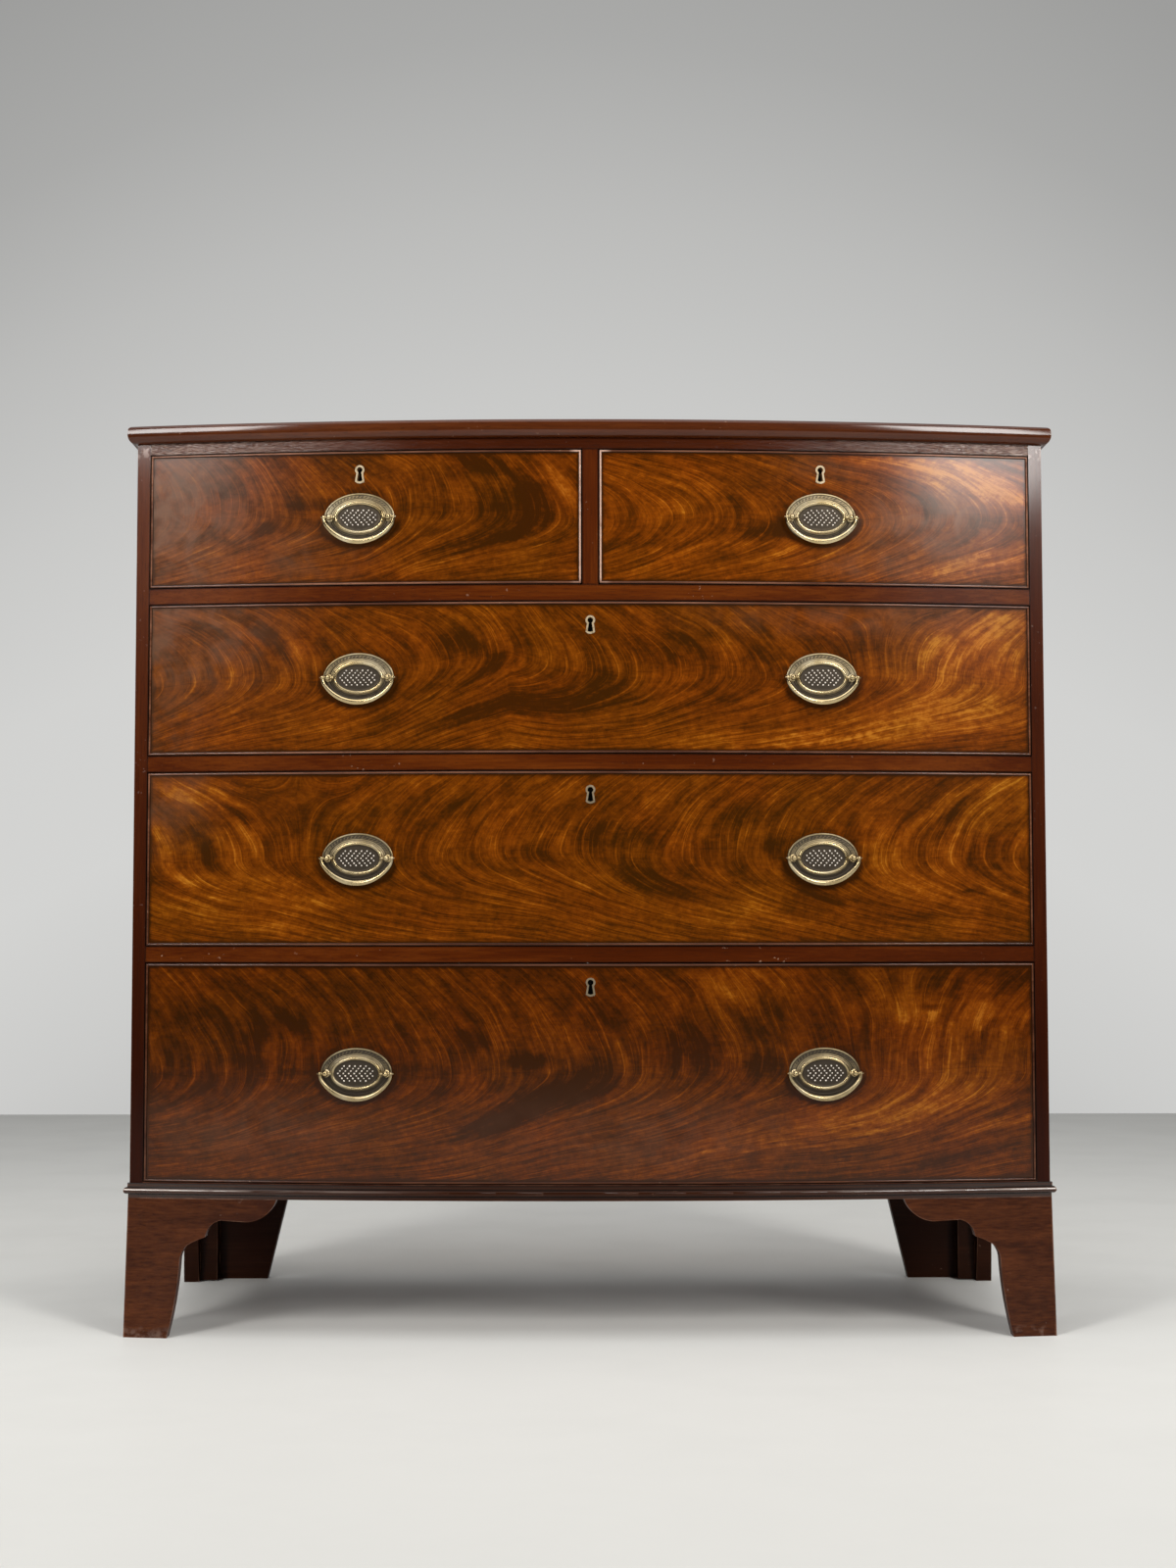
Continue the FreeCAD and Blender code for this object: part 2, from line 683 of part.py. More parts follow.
def make_handle():
    """Plate, two posts and two nuts, drawn at the origin facing -Y."""
    nut_y = front_thickness + nut_gap
    shank_end = nut_y + nut_thickness + shank_past_nut
    plate = ellipse_disc(plate_half_width, plate_half_height, -plate_thickness, 0.0)
    plate = plate.fuse([ellipse_disc(step_half_width, step_half_height, -step_height, 0.0),
                        ellipse_disc(ring_half_width, ring_half_height, -ring_height, 0.0)])
    plate = plate.removeSplitter()
    plate = plate.cut(ellipse_disc(recess_half_width, recess_half_height, -ring_height - 1.0,
                                   -recess_floor))
    parts = []
    for x in (-post_half_spacing, post_half_spacing):
        shank = along_y(post_shank, -plate_thickness, shank_end, x)
        neck = along_y(post_neck, -post_axis, -plate_thickness, x)
        ball = Part.makeSphere(post_ball, Vector(x, -post_axis, 0))
        hole = along_x(pin_radius + pin_clearance, x - 2.0 * post_ball, x + 2.0 * post_ball, -post_axis)
        post = shank.fuse([neck, ball]).removeSplitter().cut(hole)
        nut = along_y(nut_radius, nut_y, nut_y + nut_thickness, x).cut(shank)
        plate = plate.cut(along_y(post_shank, -plate_thickness, 1.0, x))
        plate = plate.cut(along_y(post_neck, -post_axis, -plate_thickness, x))
        parts += [post, nut]
    return [plate] + parts


def make_bail():
    """Swinging bail: three tangent arcs, with an elbow and a pin at each end."""
    a, b, r = bail_half_width, bail_drop, bail_end_radius
    offset = ((a - r) ** 2 - (b - r) ** 2) / (2.0 * (b - r))
    big = b + offset
    slope = math.atan2(offset, a - r)
    y = -post_axis

    def on_big(angle):
        return Vector(big * math.cos(angle), y, offset + big * math.sin(angle))

    def on_small(side, angle):
        return Vector(side * (a - r + r * math.cos(angle)), y, r * math.sin(angle))
    low = Part.Arc(on_big(math.pi + slope), on_big(-math.pi / 2.0), on_big(-slope)).toShape()
    ends = [Part.Arc(on_small(s, 0.0), on_small(s, -slope / 2.0), on_small(s, -slope)).toShape()
            for s in (-1, 1)]
    path = Part.Wire(Part.__sortEdges__([ends[0], low, ends[1]]))
    section = Part.Wire(Part.makeCircle(bail_rod, Vector(a, y, 0), Vector(0, 0, 1)))
    rod = path.makePipeShell([section], True, True)
    pieces = [rod]
    ball_x = post_half_spacing - post_ball - pin_end_gap - pin_end_ball
    for side in (-1, 1):
        x0, x1 = sorted((side * ball_x, side * a))
        pieces.append(along_x(pin_radius, x0, x1, y))
        pieces.append(Part.makeSphere(pin_end_ball, Vector(side * ball_x, y, 0)))
        pieces.append(Part.makeSphere(elbow_ball, Vector(side * a, y, 0)))
        pieces.append(Part.makeCone(elbow_ball * elbow_taper, elbow_tip_radius, elbow_tip - a,
                                    Vector(side * a, y, 0), Vector(side, 0, 0)))
    return pieces[0].fuse(pieces[1:]).removeSplitter()


def keyhole(grow, y0, y1):
    """Keyhole prism along Y; grow widens it all round. Its middle is at the origin."""
    half = key_height / 2.0
    head_z = half - key_head
    head = key_head + grow
    neck = key_neck + grow
    foot = key_foot + grow
    foot_z = -half + key_foot_rise
    neck_z = head_z - math.sqrt(head ** 2 - neck ** 2)
    corners = {"neck_right": Vector(neck, y0, neck_z), "neck_left": Vector(-neck, y0, neck_z),
               "foot_right": Vector(foot, y0, foot_z - grow / 2.0),
               "foot_left": Vector(-foot, y0, foot_z - grow / 2.0)}
    over = Part.Arc(corners["neck_left"], Vector(0, y0, head_z + head), corners["neck_right"]).toShape()
    under = Part.Arc(corners["foot_left"], Vector(0, y0, -half - grow), corners["foot_right"]).toShape()
    flanks = [line(corners["neck_" + s], corners["foot_" + s]) for s in ("left", "right")]
    return face_of([over, under] + flanks).extrude(Vector(0, y1 - y0, 0))


def lock_envelope():
    """Room that the lock takes in the drawer front, from its top edge down."""
    y1 = front_thickness
    return [box(-lock_half_width, lock_half_width, y1 - lock_plate, y1 + 1.0, -lock_height, 1.0),
            box(-lock_half_width, lock_half_width, y1 - case_depth - case_wall, y1 + 1.0, -lock_plate, 1.0),
            box(-case_half_width, case_half_width, y1 - case_depth, y1 + 1.0, -case_height, 1.0)]


def bolt_faces():
    y1 = front_thickness - lock_plate - bolt_face_gap
    y0 = front_thickness - case_depth + case_wall + bolt_face_gap
    return y0, y1


def make_lock():
    """Lock case with its key pin, drawn with the drawer's top edge at z = 0."""
    y1 = front_thickness
    plate = box(-lock_half_width, lock_half_width, y1 - lock_plate, y1, -lock_height, 0.0)
    selvedge = box(-lock_half_width, lock_half_width, y1 - case_depth - case_wall, y1, -lock_plate, 0.0)
    case = box(-case_half_width, case_half_width, y1 - case_depth, y1 - lock_plate, -case_height,
               -lock_plate)
    hollow = box(-case_half_width + case_wall, case_half_width - case_wall, y1 - case_depth + case_wall,
                 y1 - lock_plate, -case_height + case_wall, -lock_plate)
    y_bolt0, y_bolt1 = bolt_faces()
    gap = bolt_side_gap
    slot = box(-bolt_half_width - gap, bolt_half_width + gap, y_bolt0 - gap, y_bolt1 + gap, -far, 1.0)
    slot = slot.common(box(-far, far, -far, far, -lock_plate - 0.01, 1.0))
    body = plate.fuse([selvedge, case.cut(hollow)]).removeSplitter().cut(slot)
    hole = keyhole(0.0, -1.0, y1 - case_depth + case_wall)
    hole.translate(Vector(0, 0, -key_drop))
    pin_z = -key_drop + key_height / 2.0 - key_head
    pin = along_y(key_pin, y1 - case_depth, y1 - lock_plate, 0.0, pin_z)
    return body.cut(hole).fuse(pin).removeSplitter()


def make_bolt():
    y0, y1 = bolt_faces()
    return box(-bolt_half_width, bolt_half_width, y0, y1, -bolt_length, -bolt_sink)


def bolt_mortise():
    """Slot that takes a raised bolt, cut upwards from z = 0."""
    y0, y1 = bolt_faces()
    half = bolt_half_width + mortise_extra
    return box(-half, half, y0 - mortise_extra, y1 + mortise_extra, -1.0, mortise_depth)


def make_escutcheon():
    ring = keyhole(escutcheon_border, -escutcheon_proud, escutcheon_depth)
    ring = ring.cut(keyhole(0.0, -1.0, escutcheon_depth + 1.0))
    ring.translate(Vector(0, 0, -key_drop))
    return ring


def make_drawer(name, nodes):
    x0, x1, opening_z0, opening_z1, handles, lock_x = drawers[name]
    z0 = opening_z0 + gap_below
    z1 = opening_z1 - gap_above
    beads = make_beads(x0, x1, z0, z1)
    linings = make_drawer_box(x0, x1, opening_z0, z1)
    core = make_core(x0, x1, z0, z1)
    veneer = bowed_strip(x0 + bead_width, x1 - bead_width, 0.0, -veneer_thickness,
                         z0 + bead_width, z1 - bead_width)
    handle_z = (z0 + z1) / 2.0
    fittings = []
    bores = []
    handle = make_handle()
    for x in handles:
        fittings += [on_front(piece, x, handle_z) for piece in handle]
        for side in (-1, 1):
            bore = along_y(post_shank + shank_clearance, -1.0, front_thickness + 2.0,
                           side * post_half_spacing)
            bores.append(on_front(bore, x, handle_z))
    key_way = keyhole(0.0, -1.0, front_thickness - case_depth)
    key_way.translate(Vector(0, 0, -key_drop))
    key_seat = keyhole(escutcheon_border, -2.0, escutcheon_depth)
    key_seat.translate(Vector(0, 0, -key_drop))
    face_cuts = bores + [on_front(shape, lock_x, z1) for shape in (key_way, key_seat)]
    core_cuts = face_cuts + [on_front(shape, lock_x, z1) for shape in lock_envelope()]
    nodes[name + "_core"] = [cut_all(cut_all(core, linings), core_cuts)]
    nodes[name + "_veneer"] = [cut_all(veneer, face_cuts)]
    nodes[name + "_cockbeads"] = beads
    nodes[name + "_box"] = linings
    nodes[name + "_lock"] = [on_front(shape, lock_x, z1) for shape in (make_lock(), make_escutcheon())]
    nodes[name + "_lock_bolt"] = [on_front(make_bolt(), lock_x, z1)]
    nodes[name + "_handle_fittings"] = fittings
    for x in handles:
        suffix = "" if len(handles) == 1 else ("_left" if x < 0 else "_right")
        nodes[name + "_bail" + suffix] = [on_front(make_bail(), x, handle_z)]


# ---- the whole chest

def make_carcass(nodes):
    mortises = {name: on_front(bolt_mortise(), entry[5], entry[3]) for name, entry in drawers.items()}
    screws = make_screws()
    dustboards = make_dustboards()
    levels = [(z, z + rail_thickness) for z in rail_z] + [(top_rail_z, carcass_top_z)]
    rail_cuts = [[mortises["lower_long"]], [mortises["middle_long"]],
                 [mortises["upper_long"], muntin_tenons()[0]]]
    top_cuts = [mortises["short_left"], mortises["short_right"], muntin_tenons()[1]] + screws
    right_side = make_side(levels)
    rear_rail = box(-half_inside, half_inside, inside_back_y - rail_depth, inside_back_y,
                    top_rail_z, carcass_top_z)
    nodes["top_board"] = [make_top_board(screws)]
    nodes["carcass_side_left"] = [mirrored(right_side)]
    nodes["carcass_side_right"] = [right_side]
    nodes["carcass_bottom"] = [bowed_panel(-half_inside, half_inside, 0.0, inside_back_y,
                                           foot_height, lower_z)]
    nodes["back_boards"] = make_back_boards()
    nodes["top_rails"] = [make_front_rail(top_rail_z, carcass_top_z, top_cuts),
                          cut_all(rear_rail, screws)]
    nodes["drawer_rails"] = [make_front_rail(z, z + rail_thickness, dustboards + cuts)
                             for z, cuts in zip(rail_z, rail_cuts)]
    nodes["centre_muntin"] = [make_muntin()]
    nodes["dustboards"] = dustboards
    nodes["drawer_runners"] = make_runners(dustboards)
    nodes["drawer_stops"] = make_stops()
    nodes["top_screws"] = [slotted(screw) for screw in screws]


def make_base(nodes):
    nodes["base_moulding"] = make_moulding()
    shell = foot_shell()
    front = make_front_foot(shell)
    rear = make_rear_foot(shell)
    nodes["foot_front_right"] = front
    nodes["foot_front_left"] = [mirrored(piece) for piece in front]
    nodes["foot_rear_right"] = rear
    nodes["foot_rear_left"] = [mirrored(piece) for piece in rear]


def write(nodes):
    os.makedirs("parts", exist_ok=True)
    for name, shapes in sorted(nodes.items()):
        solids = [solid for shape in shapes for solid in shape.Solids]
        for solid in solids:
            if not solid.isValid() or solid.Volume <= 0.0:
                raise ValueError("bad solid in " + name)
        whole = solids[0] if len(solids) == 1 else Part.makeCompound(solids)
        whole.exportStep("parts/" + name + ".step")
        print(name, len(solids), round(sum(solid.Volume for solid in solids) / 1000.0, 1))


def main():
    nodes = {}
    make_carcass(nodes)
    make_base(nodes)
    for name in drawers:
        make_drawer(name, nodes)
    write(nodes)


main()
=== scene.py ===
import json
import math
import bmesh
import bpy
import numpy as np
from mathutils import Matrix, Vector


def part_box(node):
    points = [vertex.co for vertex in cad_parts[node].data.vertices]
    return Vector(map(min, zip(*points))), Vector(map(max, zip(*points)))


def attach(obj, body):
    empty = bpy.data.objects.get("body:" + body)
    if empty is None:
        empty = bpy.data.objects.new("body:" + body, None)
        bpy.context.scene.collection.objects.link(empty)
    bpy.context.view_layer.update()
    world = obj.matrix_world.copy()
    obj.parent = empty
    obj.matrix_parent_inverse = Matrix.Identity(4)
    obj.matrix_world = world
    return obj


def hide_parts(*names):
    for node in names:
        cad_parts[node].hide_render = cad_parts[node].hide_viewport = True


# Bow front chest of drawers with flame veneered fronts. Metres; X right, Y back, Z up.
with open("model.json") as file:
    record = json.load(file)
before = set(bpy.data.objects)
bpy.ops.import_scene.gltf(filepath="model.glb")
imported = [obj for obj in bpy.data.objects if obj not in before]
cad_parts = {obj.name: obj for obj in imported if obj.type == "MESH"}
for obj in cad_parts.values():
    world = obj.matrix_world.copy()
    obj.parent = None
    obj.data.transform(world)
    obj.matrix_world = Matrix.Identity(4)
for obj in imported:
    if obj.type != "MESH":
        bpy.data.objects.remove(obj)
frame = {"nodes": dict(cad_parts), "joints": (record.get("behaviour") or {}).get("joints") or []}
nodes = frame["nodes"]
joints = {joint["name"]: joint for joint in frame["joints"]}
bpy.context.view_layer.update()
mm = 0.001
print("frame loaded:", len(nodes), "nodes")

chest = {
    "halfBody": 0.515,
    "cornerY": -0.20125,   # front corners of the body
    "bow": 0.042,          # the middle of the front stands this far before its corners
    "hingeOut": 0.0082,    # hinge line of a bail before the drawer's face
    "stileInner": (0.506, 0.500),   # half widths between which the stiles end and the drawers begin
    "frontFace": (-0.190, -0.198),  # Y between which a piece begins to be the front of the chest
    "fadeSpan": (0.25, 0.95),       # heights between which the painted shade deepens and the polish fades towards the floor
}
bowRadius = (chest["halfBody"] ** 2 + chest["bow"] ** 2) / (2.0 * chest["bow"])
bowCentreY = chest["cornerY"] - chest["bow"] + bowRadius


def bowY(x, out=0.0):
    # the bow's circle at x, moved forwards along its radius by out
    return bowCentreY - np.sqrt((bowRadius + out) ** 2 - x * x)


def gridFaces(rows, columns, closedColumns=False):
    # corner numbers of the quads of a grid whose points run along its columns first
    row, column = np.meshgrid(np.arange(rows - 1), np.arange(columns if closedColumns else columns - 1),
                              indexing="ij")
    nextRow, nextColumn = row + 1, (column + 1) % columns
    quads = np.stack([row * columns + column, row * columns + nextColumn,
                      nextRow * columns + nextColumn, nextRow * columns + column], -1)
    return quads.reshape(-1, 4)


def joinShells(shells):
    # several (points, faces, mark) lists as one; mark is a number kept at each point
    points, faces, marks, start = [], [], [], 0
    for shell in shells:
        points.append(shell[0])
        faces.append(shell[1] + start)
        marks.append(shell[2] if len(shell) > 2 else np.zeros(len(shell[0])))
        start += len(shell[0])
    return np.concatenate(points), np.concatenate(faces), np.concatenate(marks)


def addObject(name, data):
    # an object of a mesh, a lamp or a camera, in the scene
    thing = bpy.data.objects.new(name, data)
    bpy.context.scene.collection.objects.link(thing)
    return thing


def buildPiece(name, points, faces, body, material, stands=(), crease=0.6, numbers=None,
               colours=None, maps=None):
    # a closed mesh of the points and faces, with the numbers, colours and UV places kept at each point. Its
    # double points are merged, its faces turned outwards and edges past the crease angle kept sharp. It
    # rides on its body and stands for the nodes named in stands.
    mesh = bpy.data.meshes.new(name)
    mesh.from_pydata(points.tolist(), [], faces.tolist())
    for layer, values in (numbers or {}).items():
        mesh.attributes.new(layer, "FLOAT", "POINT").data.foreach_set("value", values.astype(np.float32))
    for layer, values in (colours or {}).items():
        rgba = np.concatenate([values, np.ones((len(values), 1))], 1).astype(np.float32)
        mesh.attributes.new(layer, "FLOAT_COLOR", "POINT").data.foreach_set("color", rgba.ravel())
    for layer, places in (maps or {}).items():
        corner = np.empty(len(mesh.loops), np.int32)
        mesh.loops.foreach_get("vertex_index", corner)
        mesh.uv_layers.new(name=layer).data.foreach_set("uv", places[corner].astype(np.float32).ravel())
    work = bmesh.new()
    work.from_mesh(mesh)
    bmesh.ops.remove_doubles(work, verts=work.verts, dist=1e-7)
    bmesh.ops.recalc_face_normals(work, faces=work.faces)
    work.to_mesh(mesh)
    work.free()
    mesh.shade_smooth()
    mesh.set_sharp_from_angle(angle=crease)
    mesh.materials.append(material)
    piece = addObject(name, mesh)
    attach(piece, body)
    if stands:
        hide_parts(*stands)


def thicken(points, faces, step):
    # a sheet, its copy moved by step, and a wall of quads along every edge that only one face has
    count = len(points)
    edges = np.stack([faces, np.roll(faces, -1, 1)], -1).reshape(-1, 2)
    keys = np.sort(edges, 1) @ np.array((count, 1))
    keys, first, uses = np.unique(keys, return_index=True, return_counts=True)
    rim = edges[first[uses == 1]]
    walls = np.concatenate([rim[:, ::-1], rim + count], 1)
    return np.concatenate([points, points + step]), np.concatenate([faces, faces[:, ::-1] + count, walls])


def lathe(profile, sides):
    # rings round the out axis: point = (r cos a, out, r sin a) for each (r, out) of the profile
    profile = np.array(profile, float)
    angle = np.linspace(0.0, 2.0 * math.pi, sides, endpoint=False)
    points = np.stack([profile[:, :1] * np.cos(angle), np.repeat(profile[:, 1:], sides, 1),
                       profile[:, :1] * np.sin(angle)], -1)
    return points.reshape(-1, 3), gridFaces(len(profile), sides, closedColumns=True)


def latheAcross(profile, sides):
    # the same rings round the u axis, for (r, u) pairs
    points, faces = lathe(profile, sides)
    return points[:, [1, 0, 2]], faces


def ballProfile(radius, centre, steps=14):
    # half circle from pole to pole: (radius cos t, centre + radius sin t)
    angle = np.linspace(-math.pi / 2.0, math.pi / 2.0, steps)
    return np.stack([radius * np.cos(angle), centre + radius * np.sin(angle)], -1)


def addNode(tree, kind, inputs=None, **settings):
    # a shader node; each input is a plain value or the socket that feeds it
    node = tree.nodes.new("ShaderNode" + kind)
    for name, value in settings.items():
        setattr(node, name, value)
    for name, value in (inputs or {}).items():
        if isinstance(value, bpy.types.NodeSocket):
            tree.links.new(value, node.inputs[name])
        else:
            node.inputs[name].default_value = value
    return node


def mathNode(tree, operation, first, second=0.0, third=0.0):
    # one step of sums on two or three values
    node = addNode(tree, "Math", {0: first, 1: second, 2: third}, operation=operation)
    return node.outputs[0]


def times(tree, first, second):
    # first times second
    return mathNode(tree, "MULTIPLY", first, second)


def offLevel(tree, height, level):
    # how far a height lies from a level: the size of their difference
    return mathNode(tree, "ABSOLUTE", mathNode(tree, "SUBTRACT", height, level))


def mixColours(tree, factor, first, second, blend="MIX"):
    # first moved towards second, or towards their blend, by factor
    node = addNode(tree, "Mix", {0: factor, 6: first, 7: second}, data_type="RGBA", blend_type=blend)
    return node.outputs[2]


def laidOver(tree, colour, share, paint):
    # colour times (1 - share) plus paint times share
    return mixColours(tree, share, colour, (*paint, 1.0))


def rampOf(tree, value, stops):
    # colour at value on straight lines between the (place, colour) stops
    node = addNode(tree, "ValToRGB", {"Fac": value})
    elements = node.color_ramp.elements
    elements[0].position, elements[0].color = stops[0][0], (*stops[0][1], 1.0)
    elements[1].position, elements[1].color = stops[-1][0], (*stops[-1][1], 1.0)
    for place, colour in stops[1:-1]:
        elements.new(place).color = (*colour, 1.0)
    return node.outputs["Color"]


def stretched(tree, vector, scale, shift=(0.0, 0.0, 0.0)):
    # vector times scale plus shift, part by part
    return addNode(tree, "Mapping", {"Vector": vector, "Scale": scale, "Location": shift}).outputs[0]


def noiseOf(tree, vector, scale=1.0, detail=3.0, distortion=0.0):
    # smooth noise from 0 to 1 at scale times the vector
    node = addNode(tree, "TexNoise", {"Vector": vector, "Scale": scale, "Detail": detail,
                                      "Distortion": distortion})
    return node.outputs["Fac"]


def rangeOf(tree, value, low, high, toLow=0.0, toHigh=1.0):
    # straight line from toLow at low to toHigh at high, and level beyond both
    node = addNode(tree, "MapRange", {"Value": value, "From Min": low, "From Max": high,
                                      "To Min": toLow, "To Max": toHigh})
    return node.outputs["Result"]


def spotOf(tree):
    # the piece's own coordinates, their three parts, and the distance from the chest's middle plane
    place = addNode(tree, "TexCoord").outputs["Object"]
    parts = addNode(tree, "SeparateXYZ", {"Vector": place}).outputs
    return {"place": place, "X": parts["X"], "Y": parts["Y"], "Z": parts["Z"],
            "aside": mathNode(tree, "ABSOLUTE", parts["X"])}


def newMaterial(name, **uniform):
    # a material, its nodes and its shader, whose named sockets are the same all over
    material = bpy.data.materials.new(name)
    material.use_nodes = True
    tree = material.node_tree
    shader = tree.nodes["Principled BSDF"]
    for socket, value in uniform.items():
        shader.inputs[socket].default_value = value
    return material, tree, shader


def bumpOf(tree, shader, height, distance, strength, coatStrength=0.0):
    # the surface and its coat lean as a relief would that is distance deep where height goes from 0 to 1
    sockets = [("Normal", strength)] + ([("Coat Normal", coatStrength)] if coatStrength else [])
    for socket, share in sockets:
        bump = addNode(tree, "Bump", {"Height": height, "Distance": distance, "Strength": share})
        tree.links.new(bump.outputs[0], shader.inputs[socket])


# colour of the painted shade in gaps and grooves, and of the dirt that lies there
shadeAndDirtColour = (0.006, 0.0025, 0.0015)


def grainNoise(tree, spot, look, far, near, detail, distortion=0.0):
    # noise stretched along the grain: its scale is far along the grain and near across it
    scale = [near, near, near]
    scale["XYZ".index(look["grain"])] = far
    return noiseOf(tree, stretched(tree, spot["place"], scale), detail=detail, distortion=distortion)


def woodFigure(tree, spot, look):
    # tone = fine times lines, plus bands times bands, plus a slow wander, on a ramp of three colours. Planks
    # change it, painted shade darkens it towards the floor, and dark pores lie over it.
    wander = grainNoise(tree, spot, look, 2.0, 9.0, 2.0)
    band = grainNoise(tree, spot, look, look["bandLength"], look["bandWidth"], 4.0, 0.6)
    line = grainNoise(tree, spot, look, 14.0, 420.0, 3.0)
    pore = grainNoise(tree, spot, look, 55.0, 1500.0, 1.0)
    value = mathNode(tree, "MULTIPLY_ADD", line, look["fine"], times(tree, band, look["bands"]))
    value = mathNode(tree, "MULTIPLY_ADD", wander, 0.35, value)
    value = rangeOf(tree, value, 0.3, 0.3 + look["spread"])
    colour = rampOf(tree, value, [(0.0, look["dark"]), (0.5, look["middle"]), (1.0, look["light"])])
    if look.get("plank"):   # each plank has its own tone
        plank = mathNode(tree, "FLOOR", mathNode(tree, "DIVIDE", spot["X"], look["plank"]))
        tone = addNode(tree, "TexWhiteNoise", {"W": plank}, noise_dimensions="1D").outputs["Value"]
        colour = laidOver(tree, colour, rangeOf(tree, tone, 0.0, 1.0, 0.0, 0.45), look["dark"])
    if look.get("lowTone"):   # painted shade: darker and redder towards the floor, where less light falls
        tone = rangeOf(tree, spot["Z"], *chest["fadeSpan"], look["lowTone"], 1.0)
        tone = addNode(tree, "CombineXYZ", {"X": tone, "Y": mathNode(tree, "POWER", tone, 1.25),
                                            "Z": mathNode(tree, "POWER", tone, 1.5)}).outputs[0]
        colour = mixColours(tree, 1.0, colour, tone, "MULTIPLY")
    pores = rangeOf(tree, pore, 0.60, 0.72, 0.0, look["pores"])
    return laidOver(tree, colour, pores, look["poreColour"]), line, pore


def specksOver(tree, colour, spot, look):
    # pale specks: the peaks of a fine noise, where a broad one is high
    speck = rangeOf(tree, noiseOf(tree, spot["place"], scale=210.0, detail=2.0), 0.70, 0.74)
    patch = rangeOf(tree, noiseOf(tree, spot["place"], scale=11.0, detail=2.0), 0.5, 0.62)
    share = times(tree, times(tree, speck, patch), look["specks"])
    return laidOver(tree, colour, share, look["speckColour"])


def rubbedOver(tree, colour, spot, look):
    # edges rubbed pale, where a softened normal leans away from the true one, broken up by noise; on a piece
    # with inner shade the edges that face the drawers are dark instead: painted shade of the gaps, with some
    # dirt
    soft = addNode(tree, "Bevel", {"Radius": look["edgeWidth"]}, samples=4).outputs[0]
    lean = addNode(tree, "VectorMath", {0: soft, 1: addNode(tree, "NewGeometry").outputs["Normal"]},
                   operation="DOT_PRODUCT").outputs["Value"]
    patchy = rangeOf(tree, noiseOf(tree, spot["place"], scale=38.0, detail=4.0), 0.42, 0.60, 0.15, 1.0)
    edge = times(tree, rangeOf(tree, lean, 0.985, 0.86, 0.0, look["rubbed"]), patchy)
    # painted shade of the gaps round the drawers, with some dirt, on the edges that face them
    if look.get("innerDirt"):
        inner = rangeOf(tree, spot["aside"], *chest["stileInner"])
        edge = times(tree, edge, mathNode(tree, "SUBTRACT", 1.0, inner))
        shadeAndDirt = times(tree, rangeOf(tree, lean, 0.995, 0.93, 0.0, look["innerDirt"]), inner)
        colour = laidOver(tree, colour, shadeAndDirt, shadeAndDirtColour)
    return laidOver(tree, colour, edge, look["rubbedColour"])


def grooveShadeOver(tree, colour, spot, look):
    # painted shade in the grooves, with dirt: dark within a millimetre of each level
    for level in look["grooves"]:
        shadeAndDirt = rangeOf(tree, offLevel(tree, spot["Z"], level), 0.0005, 0.0012, 0.92, 0.0)
        colour = laidOver(tree, colour, shadeAndDirt, shadeAndDirtColour)
    return colour


def highlightStreaksOver(tree, colour, spot, look):
    # painted highlight: pale streaks on the front where the lamps reflect, more of them towards both ends;
    # on a moulding only along its crest
    start, end, share = look["haze"]
    streaks = grainNoise(tree, spot, look, 7.0, look["hazeFine"], 4.0)
    pale = times(tree, rangeOf(tree, spot["aside"], start, end, 0.0, share),
                 rangeOf(tree, streaks, 0.40, 0.62, 0.1, 1.0))
    pale = times(tree, pale, rangeOf(tree, spot["Y"], *chest["frontFace"]))
    if look.get("crest"):
        crest = rangeOf(tree, offLevel(tree, spot["Z"], look["crest"]), 0.0004, 0.0012, 1.0, 0.0)
        pale = times(tree, pale, crest)
    return laidOver(tree, colour, pale, look["hazeColour"])


def beadShadeAndHighlightOver(tree, colour, spot, look):
    # painted shade on a bead's flanks, where its normal leans away from the front. Beside the muntin, on the
    # top row, a painted highlight lies on it in patches.
    # painted highlight beside the muntin, on the top row
    wearAndHighlight = times(tree, rangeOf(tree, spot["aside"], 0.024, 0.018, 0.0, 0.8),
                 rangeOf(tree, spot["Z"], look["wornFrom"], look["wornFrom"] + 0.006))
    patchy = rangeOf(tree, noiseOf(tree, spot["place"], scale=70.0, detail=3.0), 0.30, 0.50, 0.5, 1.0)
    colour = laidOver(tree, colour, times(tree, wearAndHighlight, patchy), look["wornColour"])
    # painted shade on the flanks
    normal = addNode(tree, "TexCoord").outputs["Normal"]
    facing = addNode(tree, "SeparateXYZ", {"Vector": normal}).outputs["Y"]
    flank = rangeOf(tree, facing, -0.70, -0.93, look["nose"], 0.0)
    return laidOver(tree, colour, flank, look["flankColour"])


def chipsOver(tree, colour, spot, look):
    # pale chips near the front, where the wood is high enough or low enough, broken up by noise
    chip = rangeOf(tree, noiseOf(tree, spot["place"], scale=look["chipScale"], detail=4.0), 0.50, 0.60)
    chip = times(tree, chip, rangeOf(tree, spot["Y"], look["wearTo"], look["wearTo"] - 0.004))
    for side, start, end, share in look["wear"]:
        source = {"high": spot["Z"], "low": times(tree, spot["Z"], -1.0)}[side]
        wearAndHighlight = times(tree, rangeOf(tree, source, start, end, 0.0, share), chip)
        colour = laidOver(tree, colour, wearAndHighlight, look["speckColour"])
    return colour


